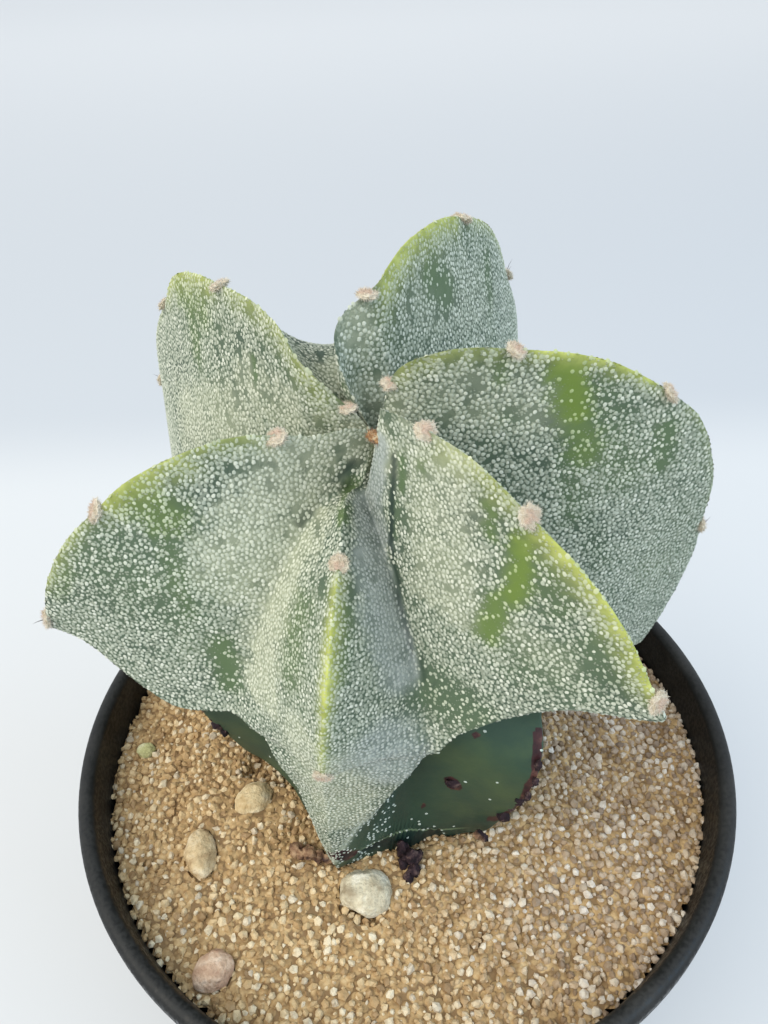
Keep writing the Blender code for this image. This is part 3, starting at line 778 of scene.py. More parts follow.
def scatter(name, surface, shapes, spec, material):
    holder = bpy.data.collections.new(name + "Shapes")
    for shape in shapes:
        holder.objects.link(shape)
    tree = bpy.data.node_groups.new(name + "Scatter", "GeometryNodeTree")
    tree.interface.new_socket("Geometry", in_out="INPUT", socket_type="NodeSocketGeometry")
    tree.interface.new_socket("Geometry", in_out="OUTPUT", socket_type="NodeSocketGeometry")
    start = addNode(tree, "NodeGroupInput")
    end = addNode(tree, "NodeGroupOutput")
    points = addNode(tree, "GeometryNodeDistributePointsOnFaces", {
        "Mesh": start.outputs[0]}, distribute_method="POISSON")
    liveSocket(points.inputs, "Distance Min").default_value = spec["apart"]
    liveSocket(points.inputs, "Density Max").default_value = spec["most"]
    points.inputs["Seed"].default_value = spec["seed"]
    if "cover" in spec:
        cover = addNode(tree, "GeometryNodeInputNamedAttribute", {"Name": spec["cover"]},
                        data_type="FLOAT")
        tree.links.new(liveSocket(cover.outputs, "Attribute"),
                       liveSocket(points.inputs, "Density Factor"))
    if "rib" in spec:
        number = addNode(tree, "GeometryNodeInputNamedAttribute", {"Name": "ribNumber"},
                         data_type="FLOAT")
        same = addNode(tree, "FunctionNodeCompare", {
            "A": liveSocket(number.outputs, "Attribute"), "B": float(spec["rib"]), "Epsilon": 0.5},
            data_type="FLOAT", operation="EQUAL")
        tree.links.new(same.outputs[0], points.inputs["Selection"])
    turn = points.outputs["Rotation"]
    if "comb" in spec:
        combed = addNode(tree, "FunctionNodeAlignRotationToVector", {
            "Rotation": turn, "Vector": spec["comb"]}, axis="X", pivot_axis="Z")
        turn = combed.outputs[0]
    sway = addNode(tree, "FunctionNodeRandomValue", {
        0: [-v for v in spec["sway"]], 1: spec["sway"], 8: spec["seed"] + 1}, data_type="FLOAT_VECTOR")
    euler = addNode(tree, "FunctionNodeEulerToRotation", {0: sway.outputs[0]})
    turned = addNode(tree, "FunctionNodeRotateRotation", {0: turn, 1: euler.outputs[0]},
                     rotation_space="LOCAL")
    size = addNode(tree, "FunctionNodeRandomValue", {
        2: spec["size"][0], 3: spec["size"][1], 8: spec["seed"] + 2}, data_type="FLOAT")
    pick = addNode(tree, "FunctionNodeRandomValue", {
        4: 0, 5: len(shapes) - 1, 8: spec["seed"] + 3}, data_type="INT")
    library = addNode(tree, "GeometryNodeCollectionInfo", {
        "Collection": holder, "Separate Children": True, "Reset Children": True})
    placed = addNode(tree, "GeometryNodeInstanceOnPoints", {
        "Points": points.outputs["Points"], "Instance": library.outputs[0], "Pick Instance": True,
        "Instance Index": pick.outputs[2], "Rotation": turned.outputs[0], "Scale": size.outputs[1]})
    tint = addNode(tree, "FunctionNodeRandomValue", {
        2: 0.0, 3: 1.0, 8: spec["seed"] + 4}, data_type="FLOAT")
    stored = addNode(tree, "GeometryNodeStoreNamedAttribute", {
        "Geometry": placed.outputs[0], "Name": "tint", "Value": tint.outputs[1]},
        data_type="FLOAT", domain="INSTANCE")
    real = addNode(tree, "GeometryNodeRealizeInstances", {"Geometry": stored.outputs[0]})
    tree.links.new(real.outputs[0], end.inputs[0])

    carrier = link(bpy.data.objects.new(name + "Carrier", surface))
    modifier = carrier.modifiers.new("Scatter", "NODES")
    modifier.node_group = tree
    bpy.context.view_layer.update()
    done = carrier.evaluated_get(bpy.context.evaluated_depsgraph_get())
    mesh = bpy.data.meshes.new_from_object(done)
    mesh.name = name
    bpy.data.objects.remove(carrier)
    for shape in shapes:
        bpy.data.objects.remove(shape)
    bpy.data.collections.remove(holder)
    bpy.data.node_groups.remove(tree)
    mesh.materials.clear()
    mesh.materials.append(material)
    print(name + ":", len(mesh.polygons), "faces")
    return placePiece(bpy.data.objects.new(name, mesh))


def looseShape(name, bm, smooth=True):
    mesh = meshFrom(name, bm)
    if smooth:
        mesh.shade_smooth()
    return bpy.data.objects.new(name, mesh)


# White wool flecks

flecks = {
    # least distance between flecks, and their half length and half width
    "ribs": {"front": (0.00046, 0.00027, 0.00023), "rightFront": (0.00050, 0.00030, 0.00025),
             "right": (0.00053, 0.00030, 0.00028), "back": (0.00054, 0.00030, 0.00028),
             "leftBack": (0.00050, 0.00031, 0.00026), "left": (0.00050, 0.00031, 0.00025)},
    "most": 2.4e7,
    "height": 0.00011,
    "size": (0.8, 1.2),
    "sway": (0.15, 0.15, 0.7),
    "comb": (0.0, 0.0, -1.0),       # the flecks point down the plant
    "sides": 6,
    "uneven": 0.12,
    "kinds": 3,
    "seed": 40,
}


def fleckShape(number, length, width):
    draw = random.Random(number + 5)
    bm = bmesh.new()
    bmesh.ops.create_cone(bm, cap_ends=False, segments=flecks["sides"], radius1=1.0, radius2=0.0,
                          depth=1.2)
    uneven = flecks["uneven"]
    for vert in bm.verts:
        vert.co += Vector((draw.uniform(-uneven, uneven), draw.uniform(-uneven, uneven), 0.4))
        vert.co = Vector((vert.co.x * length, vert.co.y * width, vert.co.z * flecks["height"]))
    return looseShape(f"fleckShape{number}", bm)


def makeFleckMaterial():
    material, tree, shader = startMaterial("woolFlecks", 0.9, 0.2)
    tint = mark(tree, "tint")
    colour = ramp(tree, tint, (
        (0.0, 146, 154, 138), (0.3, 170, 176, 160), (0.75, 188, 192, 176),
        (1.0, 208, 210, 196)))
    striped = scaled(tree, mark(tree, "stripe"), 0.6)
    colour = mixColour(tree, striped, colour, paint(186, 192, 124))
    showing = scaled(tree, mark(tree, "bare"), spread(tree, mark(tree, "hue"), 0.4, 0.9, 0.2, 0.8))
    colour = mixColour(tree, showing, colour, paint(154, 172, 96))
    colour = mixColour(tree, scaled(tree, mark(tree, "thick"), 0.5), colour, paint(210, 211, 188))
    colour = mixColour(tree, scaled(tree, mark(tree, "felt"), 0.85), colour, paint(160, 167, 165))
    oldDot = scaled(tree, mark(tree, "old"), 0.5)
    colour = mixColour(tree, oldDot, colour, paint(200, 214, 208))
    cloud = mottle(tree, objectPlace(tree), 900.0, 1.2)
    colour = mixColour(tree, spread(tree, cloud, 0.3, 0.8, 0.0, 0.25), colour, paint(160, 170, 150))
    setColour(tree, shader, colour)
    return material


fleckMaterial = makeFleckMaterial()
for ribIndex, ribPlan in enumerate(ribs):
    apart, length, width = flecks["ribs"][ribPlan["name"]]
    fleckPlan = {
        "apart": apart, "most": flecks["most"], "cover": "wool", "rib": ribIndex,
        "comb": flecks["comb"], "sway": flecks["sway"], "size": flecks["size"],
        "seed": flecks["seed"] + ribIndex}
    pieceName = "flecks" + ribPlan["name"][0].upper() + ribPlan["name"][1:]
    scatter(pieceName, body.data, [fleckShape(n, length, width) for n in range(flecks["kinds"])],
            fleckPlan, fleckMaterial)


# Areoles: woolly mounds with fibres, and a few dark spines

areoles = {
    "radius": 0.00118,
    "youngSize": 0.8,               # the areoles at the crown are smaller
    "youngEnds": 12,
    "flat": 0.36,
    "sink": 0.0001,
    "lump": 0.35,
    "fibreLength": 0.00042,
    "fibreWidth": 0.00004,
    "fibreKinds": 4,
    "fibres": {"apart": 0.00012, "most": 1.2e8, "sway": (0.9, 0.9, 3.1), "size": (0.5, 1.2),
               "seed": 60},
    "spineLength": 0.0025,
    "spineRadius": 0.00009,
    "spineSway": 0.3,
    "spineRise": (0.4, -0.2),       # the first spine of an areole points up, the second down
    "spineBend": 0.35,
    "spineTip": 0.08,
    "spineSides": 5,
    "spineCuts": 5,
    "spineSink": 0.0006,
    "seed": 7,
}


def addMound(bm, place, outward, radius, flat, shift):
    core = bm.verts.layers.float.get("core") or bm.verts.layers.float.new("core")
    turn = outward.to_track_quat("Z", "Y").to_matrix().to_4x4()
    made = bmesh.ops.create_icosphere(bm, subdivisions=4, radius=1.0)
    for vert in made["verts"]:
        vert[core] = ease(vert.co.z + 0.4 * noise.noise(vert.co * 2 + shift), 0.6, 1.05)
        swell = 1 + areoles["lump"] * noise.noise(vert.co * 2.2 + shift)
        swell += 0.10 * noise.noise(vert.co * 6 + shift)
        local = Vector((vert.co.x, vert.co.y, vert.co.z * flat)) * radius * swell
        vert.co = place + turn @ local


def areolePlaces():
    for rib in ribs:
        for angle in rib["areoles"]:
            spot, outward = bodyPoint(ribFacing(rib, angle), angle, ridgeReach(rib, angle))
            yield rib, angle, spot, outward


def buildAreoles(material):
    draw = random.Random(areoles["seed"])
    bm = bmesh.new()
    for _, angle, spot, outward in areolePlaces():
        shift = drawShift(draw, 9)
        small = areoles["youngSize"] if angle < areoles["youngEnds"] else draw.uniform(0.9, 1.05)
        place = spot - outward * areoles["sink"]
        addMound(bm, place, outward, areoles["radius"] * small, areoles["flat"], shift)
    return makePiece("areoles", bm, material)


def makeAreoleMaterial():
    material, tree, shader = startMaterial("areoleWool", 0.95, 0.1)
    place = objectPlace(tree)
    fine = mottle(tree, place, 1500.0, 2.0)
    colour = ramp(tree, fine, ((0.15, 168, 156, 132), (0.45, 196, 184, 162), (0.8, 214, 206, 186)))
    colour = mixColour(tree, scaled(tree, mark(tree, "core"), 0.6), colour, paint(190, 158, 140))
    setColour(tree, shader, colour)
    addBump(tree, shader, fine, 0.0002, 0.7)
    return material


def fibreShape(number, length, width):
    draw = random.Random(number + 31)
    bm = bmesh.new()
    bmesh.ops.create_cone(bm, cap_ends=False, segments=3, radius1=width, radius2=width * 0.15,
                          depth=length, matrix=Matrix.Translation((0, 0, length * 0.4)))
    edges = [e for e in bm.edges if abs(e.verts[0].co.z - e.verts[1].co.z) > length / 2]
    bmesh.ops.subdivide_edges(bm, edges=edges, cuts=1)
    bend = draw.uniform(0.1, 0.45)
    for vert in bm.verts:
        share = max(vert.co.z / length, 0.0)
        vert.co.x += bend * share * share * length
    return looseShape(f"fibreShape{number}", bm)


def fibreShapes(first, length):
    return [fibreShape(first + n, length, areoles["fibreWidth"]) for n in range(areoles["fibreKinds"])]


def makeFibreMaterial():
    material, tree, shader = startMaterial("areoleFibres", 0.9, 0.2)
    tint = mark(tree, "tint")
    colour = ramp(tree, tint, ((0.0, 196, 182, 160), (0.4, 216, 206, 188), (1.0, 232, 224, 210)))
    colour = mixColour(tree, scaled(tree, mark(tree, "core"), 0.5), colour, paint(200, 168, 150))
    setColour(tree, shader, colour)
    return material


areolePiece = buildAreoles(makeAreoleMaterial())
scatter("areoleFibres", areolePiece.data, fibreShapes(0, areoles["fibreLength"]),
        areoles["fibres"], makeFibreMaterial())
print("areoles made")


def addSpine(bm, root, direction, length, radius, bend):
    turn = direction.to_track_quat("Z", "Y").to_matrix().to_4x4()
    spine = bmesh.new()
    middle = Matrix.Translation((0, 0, length / 2))
    bmesh.ops.create_cone(spine, cap_ends=True, segments=areoles["spineSides"], radius1=radius,
                          radius2=radius * areoles["spineTip"], depth=length, matrix=middle)
    sides = [e for e in spine.edges if abs(e.verts[0].co.z - e.verts[1].co.z) > length / 2]
    bmesh.ops.subdivide_edges(spine, edges=sides, cuts=areoles["spineCuts"])
    for vert in spine.verts:
        share = vert.co.z / length
        vert.co.x += bend * share * share * length
        vert.co = root + turn @ (vert.co - Vector((0, 0, areoles["spineSink"])))
    single = meshFrom("singleSpine", spine)
    bm.from_mesh(single)
    bpy.data.meshes.remove(single)


def buildSpines(material):
    draw = random.Random(areoles["seed"] + 1)
    aside = areoles["spineSway"]
    bm = bmesh.new()
    for rib, angle, spot, outward in areolePlaces():
        for number in range(rib.get("spines", {}).get(angle, 0)):
            rise = areoles["spineRise"][number]
            sway = Vector((draw.uniform(-aside, aside), draw.uniform(-aside, aside), rise))
            start = spot + outward * areoles["radius"] * 0.3
            length = areoles["spineLength"] * draw.uniform(0.7, 1.1)
            bend = draw.uniform(-areoles["spineBend"], areoles["spineBend"])
            addSpine(bm, start, (outward + sway).normalized(), length, areoles["spineRadius"], bend)
    bmesh.ops.recalc_face_normals(bm, faces=bm.faces)
    return makePiece("spines", bm, material)


def makeSpineMaterial():
    material, tree, shader = startMaterial("spineBrown", 0.5, 0.5)
    fine = mottle(tree, objectPlace(tree), 1800.0, 1.5)
    colour = ramp(tree, fine, ((0.2, 30, 26, 28), (0.6, 62, 50, 48), (0.9, 118, 96, 84)))
    setColour(tree, shader, colour)
    return material


buildSpines(makeSpineMaterial())


# Wool in the crown

crownWool = {
    "mounds": (                     # middle and radius in millimetres, flatness
        ((-1.7, -8.0, 152.9), 0.85, 0.6),
        ((-2.6, -7.4, 152.8), 0.7, 0.6),
        ((-0.9, -7.9, 153.2), 0.7, 0.6),
    ),
    "firstFibre": 10,
    "fibreLength": 0.0007,
    "fibres": {"apart": 0.00018, "most": 6.0e7, "sway": (0.7, 0.7, 3.1), "size": (0.5, 1.2),
               "seed": 70},
}


def buildCrownWool(material):
    bm = bmesh.new()
    for number, (place, radius, flat) in enumerate(crownWool["mounds"]):
        shift = Vector((number * 3.0, 1.0, 2.0))
        addMound(bm, Vector(place) / 1000, plant["lean"], radius / 1000, flat, shift)
    return makePiece("crownWool", bm, material)


def makeCrownMaterial(name, bright):
    material, tree, shader = startMaterial(name, 0.95, 0.1)
    place = objectPlace(tree)
    fine = mottle(tree, place, 1100.0, 2.2)
    colour = ramp(tree, fine, (
        (0.2, 120 + bright, 88 + bright, 60 + bright), (0.5, 166, 130, 92 + bright),
        (0.8, 200, 184, 154)))
    setColour(tree, shader, colour)
    addBump(tree, shader, fine, 0.0002, 0.7)
    return material


crownPiece = buildCrownWool(makeCrownMaterial("crownWool", 0))
scatter("crownFibres", crownPiece.data, fibreShapes(crownWool["firstFibre"], crownWool["fibreLength"]),
        crownWool["fibres"], makeCrownMaterial("crownFibres", 20))


# Corky knobs along the old ridges, and the dark lump at the foot

cork = {
    "radius": 0.0011,
    "perRib": 10,
    "aside": 0.0007,
    "sink": 0.0004,
    "gaps": 0.3,                    # share of the places without a knob
    "clear": 4,                     # degrees below the young skin, which has no cork
    "seed": 7,
    "from": 112,
    "to": 141,
    "lumps": (                      # middle and half sizes in millimetres
        ((-0.9, -19.8, 85.6), (1.0, 1.0, 1.9)),
        ((0.3, -21.1, 85.4), (1.4, 1.0, 2.1)),
        ((-0.9, -21.5, 84.6), (0.8, 1.0, 1.2)),
        ((1.3, -20.4, 84.9), (0.8, 0.7, 1.3)),
        ((0.6, -22.5, 84.6), (0.9, 1.0, 1.2)),
        ((-0.3, -23.4, 84.2), (0.8, 0.9, 1.0)),
        ((-9.6, -19.4, 86.4), (1.5, 0.7, 0.9)),
        ((6.3, -19.3, 102.6), (1.1, 0.5, 0.8)),
        ((16.6, -22.6, 111.5), (0.5, 0.4, 1.1)),
        ((16.5, -22.9, 108.2), (0.45, 0.4, 0.7)),
        ((16.0, -22.3, 103.6), (0.5, 0.45, 0.9)),
        ((13.6, -20.0, 94.4), (0.7, 0.5, 0.6)),
        ((10.4, -19.6, 88.8), (0.8, 0.6, 0.8)),
        ((11.3, -19.7, 88.0), (0.6, 0.6, 0.7)),
    ),
    "crust": (
        ((-17.2, -18.6, 84.6), (1.1, 1.1, 1.2)),
        ((-16.2, -19.4, 84.6), (0.9, 0.8, 1.0)),
        ((-15.0, -19.4, 84.9), (1.2, 1.0, 1.3)),
        ((-13.6, -19.8, 84.5), (1.0, 0.9, 1.0)),
        ((-12.2, -20.0, 84.4), (1.1, 0.9, 0.9)),
        ((-10.9, -20.0, 84.6), (1.0, 0.8, 0.9)),
    ),
}


def addCork(bm, place, half, shift, pale=0.0):
    paleLayer = bm.verts.layers.float.get("pale") or bm.verts.layers.float.new("pale")
    made = bmesh.ops.create_icosphere(bm, subdivisions=3, radius=1.0)
    for vert in made["verts"]:
        vert[paleLayer] = pale
        rough = 1 + 0.36 * noise.noise(vert.co * 1.7 + shift) + 0.24 * noise.noise(vert.co * 5 + shift)
        vert.co = place + Vector(vert.co[axis] * half[axis] * rough for axis in range(3))


def buildCork(material):
    draw = random.Random(cork["seed"])
    bm = bmesh.new()
    for rib in ribs:
        for number in range(cork["perRib"]):
            share = (number + draw.uniform(0.2, 0.8)) / cork["perRib"]
            angle = cork["from"] + (cork["to"] - cork["from"]) * share
            bare = draw.random() < cork["gaps"]
            if bare or angle < rib["ends"] + cork["clear"]:
                continue
            spot, outward = bodyPoint(ribFacing(rib, angle), angle, ridgeReach(rib, angle))
            size = cork["radius"] * draw.uniform(0.35, 1.0)
            tall = size * draw.uniform(0.8, 1.7)
            shift = drawShift(draw, 9)
            aside = outward.cross(Vector((0, 0, 1))) * draw.uniform(-1, 1) * cork["aside"]
            addCork(bm, spot - outward * cork["sink"] + aside, (size, size, tall), shift)
    for place, half in cork["lumps"] + cork["crust"]:
        shift = drawShift(draw, 9)
        pale = 1.0 if (place, half) in cork["crust"] else 0.0
        addCork(bm, Vector(place) / 1000, Vector(half) / 1000, shift, pale)
    return makePiece("corkyKnobs", bm, material)


def makeCorkMaterial():
    material, tree, shader = startMaterial("darkCork", 0.8, 0.3)
    place = objectPlace(tree)
    fine = mottle(tree, place, 900.0, 1.8)
    broad = mottle(tree, place, 220.0, 1.8)
    dark = ramp(tree, fine, ((0.2, 20, 14, 19), (0.55, 46, 30, 36), (0.85, 104, 84, 78)))
    pale = ramp(tree, fine, ((0.2, 84, 58, 46), (0.5, 140, 108, 82), (0.8, 180, 150, 118)))
    paleness = maths(tree, "ADD", broad, scaled(tree, mark(tree, "pale"), 0.45))
    colour = mixColour(tree, spread(tree, paleness, 0.6, 0.85), dark, pale)
    setColour(tree, shader, colour)
    addBump(tree, shader, fine, 0.0003, 0.8)
    return material


buildCork(makeCorkMaterial())
print("cork and spines made")


# Sand: the frame's solid, with loose grains scattered over its top

sand = {
    "grades": (
        {"name": "coarse", "half": 0.00070, "glint": 0.45,
         "plan": {"apart": 0.00118, "size": (0.75, 1.25), "seed": 80}},
        {"name": "small", "half": 0.00044, "glint": 0.6,
         "plan": {"apart": 0.00092, "size": (0.6, 1.3), "seed": 90}},
    ),
    "most": 4.0e6,
    "sway": (3.1, 3.1, 3.1),
    "kinds": 6,
    "lowest": 0.0802,               # faces above this and turned up belong to the bed's top
    "topFacing": 0.4,
    "neighbours": 6,
    "skinHalf": 0.0488,
    "skinCuts": 90,
    "skinDrop": 0.0003,
}


def grainShape(number, half):
    draw = random.Random(number * 7 + 3)
    bm = bmesh.new()
    bmesh.ops.create_icosphere(bm, subdivisions=1, radius=1.0)
    stretch = (draw.uniform(0.95, 1.3), draw.uniform(0.75, 1.0), draw.uniform(0.65, 0.9))
    for vert in bm.verts:
        vert.co *= draw.uniform(0.72, 1.18)
        vert.co = Vector(vert.co[axis] * stretch[axis] * half for axis in range(3))
    return looseShape(f"grainShape{number}", bm, smooth=False)


def sandHeights():
    # the bed's top as a tree of its points
    bm = bmesh.new()
    bm.from_mesh(frame["nodes"]["sand"].data)
    bmesh.ops.remove_doubles(bm, verts=bm.verts, dist=0.00001)
    bmesh.ops.recalc_face_normals(bm, faces=bm.faces)
    tops = set()
    for face in bm.faces:
        if face.normal.z > sand["topFacing"] and face.calc_center_median().z > sand["lowest"]:
            tops.update(vert.co.copy().freeze() for vert in face.verts)
    bm.free()
    tree = kdtree.KDTree(len(tops))
    for index, place in enumerate(sorted(tops, key=tuple)):
        tree.insert((place.x, place.y, 0.0), index)
    tree.balance()
    return tree, [place.z for place in sorted(tops, key=tuple)]


def sandSkin(drop):
    # the bed's top as one skin, which also closes the gap round the plant's foot
    tree, heights = sandHeights()
    bm = bmesh.new()
    bmesh.ops.create_grid(bm, x_segments=sand["skinCuts"], y_segments=sand["skinCuts"],
                          size=sand["skinHalf"])
    outside = [f for f in bm.faces if f.calc_center_median().length > sand["skinHalf"]]
    bmesh.ops.delete(bm, geom=outside, context="FACES")
    for vert in bm.verts:
        near = tree.find_n((vert.co.x, vert.co.y, 0.0), sand["neighbours"])
        weights = [1 / (distance + 0.001) ** 2 for _, _, distance in near]
        level = sum(w * heights[index] for w, (_, index, _) in zip(weights, near)) / sum(weights)
        vert.co.z = level - drop
    bmesh.ops.recalc_face_normals(bm, faces=bm.faces)
    return bm


def makeGrainMaterial(name, glint):
    material, tree, shader = startMaterial(name, 0.6, 0.5)
    tint = mark(tree, "tint")
    place = objectPlace(tree)
    golden = ramp(tree, tint, (
        (0.0, 150, 120, 82), (0.2, 186, 154, 108), (0.5, 206, 178, 132),
        (0.75, 220, 198, 158), (0.9, 232, 218, 188), (1.0, 190, 176, 154)))
    grey = ramp(tree, tint, (
        (0.0, 124, 108, 94), (0.3, 164, 146, 128), (0.6, 186, 170, 152),
        (0.85, 204, 192, 176), (1.0, 224, 218, 208)))
    # Painted shade: the grains turn greyer towards the right, where the plant's shadow falls, in soft
    # patches
    split = addNode(tree, "ShaderNodeSeparateXYZ", {0: place})
    shadedSide = spread(tree, split.outputs[0], -0.012, 0.035)
    cloud = mottle(tree, place, 60.0, 1.6)
    shadedSide = scaled(tree, shadedSide, spread(tree, cloud, 0.2, 0.7, 0.6, 1.0))
    colour = mixColour(tree, shadedSide, golden, grey)
    fine = mottle(tree, place, 1400.0, 1.6)
    colour = mixColour(tree, spread(tree, fine, 0.35, 0.8, 0.0, 0.4), colour, paint(150, 120, 84))
    setColour(tree, shader, colour)
    tree.links.new(spread(tree, fine, 0.3, 0.7, glint, 0.8), shader.inputs["Roughness"])
    addBump(tree, shader, fine, 0.0002, 0.5)
    return material


def makeSandMaterial():
    material, tree, shader = startMaterial("sandBed", 0.9, 0.3)
    place = objectPlace(tree)
    grainy = dots(tree, place, 900.0, 1.1)
    fine = mottle(tree, place, 700.0, 1.8)
    colour = ramp(tree, fine, ((0.2, 142, 114, 78), (0.6, 184, 154, 110), (0.9, 210, 184, 140)))
    colour = mixColour(tree, grainy["Mask"], paint(132, 106, 74), colour)
    setColour(tree, shader, colour)
    addBump(tree, shader, grainy["Height"], 0.0005, 0.8)
    return material


bed = frame["nodes"]["sand"]
bed.data.materials.clear()
bed.data.materials.append(makeSandMaterial())
makePiece("sandFill", sandSkin(sand["skinDrop"]), bed.data.materials[0])
topOfSand = meshFrom("sandTop", sandSkin(0.0))
for grade in sand["grades"]:
    grains = [grainShape(n, grade["half"]) for n in range(sand["kinds"])]
    grainPlan = dict(grade["plan"], most=sand["most"], sway=sand["sway"])
    scatter(grade["name"] + "Grains", topOfSand, grains, grainPlan,
            makeGrainMaterial(grade["name"] + "Sand", grade["glint"]))
bpy.data.meshes.remove(topOfSand)


# Pebbles

pebbles = (
    {"name": "cream", "at": (-0.0247, -0.0095), "half": (0.0034, 0.0028, 0.0026), "turn": 35,
     "colours": ((196, 168, 122), (230, 210, 168), (242, 230, 200))},
    {"name": "tan", "at": (-0.0322, -0.0180), "half": (0.0025, 0.0040, 0.0022), "turn": 12,
     "colours": ((166, 138, 100), (212, 188, 146), (234, 218, 186))},
    {"name": "grey", "at": (-0.0066, -0.0250), "half": (0.0040, 0.0034, 0.0028), "turn": -20,
     "colours": ((164, 150, 124), (216, 206, 178), (238, 231, 210))},
    {"name": "pink", "at": (-0.0279, -0.0349), "half": (0.0029, 0.0026, 0.0020), "turn": 50,
     "colours": ((170, 132, 108), (208, 176, 148), (232, 210, 186))},
    {"name": "green", "at": (-0.0445, 0.0010), "half": (0.0016, 0.0014, 0.0013), "turn": 0,
     "colours": ((150, 146, 96), (196, 194, 140), (224, 220, 180))},
)
pebbleShape = {
    "sink": 0.35, "lump": 0.10, "level": 0.0826, "pits": 0.035,
    "chips": 9, "chipReach": (0.84, 0.96), "chipFlat": 0.8,
}


def buildPebble(plan, material):
    draw = random.Random("pebble_" + plan["name"])
    shift = drawShift(draw, 5)
    bm = bmesh.new()
    bmesh.ops.create_icosphere(bm, subdivisions=5, radius=1.0)
    flats = []
    for _ in range(pebbleShape["chips"]):
        facing = Vector([draw.gauss(0, 1) for _ in range(3)]).normalized()
        flats.append((facing, draw.uniform(*pebbleShape["chipReach"])))
    x, y = plan["at"]
    lift = plan["half"][2] * (1 - 2 * pebbleShape["sink"])
    spot = Matrix.Translation((x, y, pebbleShape["level"] + lift))
    turn = spot @ Matrix.Rotation(math.radians(plan["turn"]), 4, "Z")
    for vert in bm.verts:
        unit = vert.co.copy()
        swell = 1 + pebbleShape["lump"] * noise.noise(unit * 1.6 + shift)
        for facing, limit in flats:
            over = unit.dot(facing) - limit
            if over > 0:
                unit -= facing * over * pebbleShape["chipFlat"]
        swell += pebbleShape["pits"] * noise.noise(unit * 7 + shift)
        local = Vector(unit[axis] * plan["half"][axis] * swell for axis in range(3))
        vert.co = turn @ local
    piece = makePiece(plan["name"] + "Pebble", bm, material)
    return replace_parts(piece, "pebble_" + plan["name"])


def makePebbleMaterial(plan):
    material, tree, shader = startMaterial(plan["name"] + "Stone", 0.8, 0.35)
    place = objectPlace(tree)
    broad = mottle(tree, place, 330.0, 1.8)
    fine = mottle(tree, place, 1900.0, 1.8)
    low, middle, high = plan["colours"]
    colour = ramp(tree, broad, ((0.2, *low), (0.5, *middle), (0.8, *high)))
    colour = mixColour(tree, spread(tree, fine, 0.45, 0.85, 0.0, 0.45), colour, paint(*low))
    setColour(tree, shader, colour)
    addBump(tree, shader, fine, 0.00025, 0.8)
    return material


for pebblePlan in pebbles:
    buildPebble(pebblePlan, makePebbleMaterial(pebblePlan))
print("sand and pebbles made")


# Pot

pot = {
    "rimRadius": 0.0525, "height": 0.090, "baseRadius": 0.038, "wall": 0.0013, "floor": 0.0016,
    "lipWidth": 0.0026, "lipHeight": 0.0030, "lipSteps": 12, "collarHeight": 0.0100,
    "collarStep": 0.0008, "collarSlope": 0.0006, "corner": 0.001, "chamfer": 0.0012,
    "steps": 160, "drains": 6, "drainRing": 0.026, "drainRadius": 0.0035, "drainSides": 28,
    "drainDepth": 0.0064,
    "wallRows": 14, "sharpAngle": 40,
}


def wallRadius(height):
    low, high = pot["floor"] + pot["corner"], pot["height"] - pot["lipWidth"] / 2
    share = (height - low) / (high - low)
    inside = pot["baseRadius"] - pot["wall"]
    return inside + (pot["rimRadius"] - pot["lipWidth"] - inside) * share


def potProfile():
    inside = pot["baseRadius"] - pot["wall"]
    innerRim = pot["rimRadius"] - pot["lipWidth"]
    collar = innerRim + pot["wall"] + pot["collarStep"]
    collarFoot = pot["height"] - pot["collarHeight"]
    lip = pot["lipWidth"] / 2
    innerFoot = pot["floor"] + pot["corner"]
    innerTop = pot["height"] - lip
    points = [(0.0, pot["floor"]), (inside - pot["corner"], pot["floor"])]
    for row in range(pot["wallRows"] + 1):
        height = innerFoot + (innerTop - innerFoot) * row / (pot["wallRows"] + 1)
        points.append((wallRadius(height), height))
    for step in range(pot["lipSteps"] + 1):
        turn = math.pi * (1 - step / pot["lipSteps"])
        height = pot["height"] - lip * (1 - math.sin(turn))
        points.append((innerRim + lip * (1 + math.cos(turn)), height))
    points.append((pot["rimRadius"], pot["height"] - pot["lipHeight"]))
    points.append((collar, pot["height"] - pot["lipHeight"] - pot["collarSlope"]))
    points.append((collar - pot["collarSlope"], collarFoot))
    outerTop = collarFoot - pot["collarSlope"]
    outerRadius = wallRadius(outerTop) + pot["wall"]
    for row in range(pot["wallRows"] + 1):
        height = outerTop + (pot["chamfer"] - outerTop) * row / pot["wallRows"]
        share = (height - pot["chamfer"]) / (outerTop - pot["chamfer"])
        points.append((pot["baseRadius"] + (outerRadius - pot["baseRadius"]) * share, height))
    points.append((pot["baseRadius"] - pot["chamfer"], 0.0))
    points.append((0.0, 0.0))
    return points


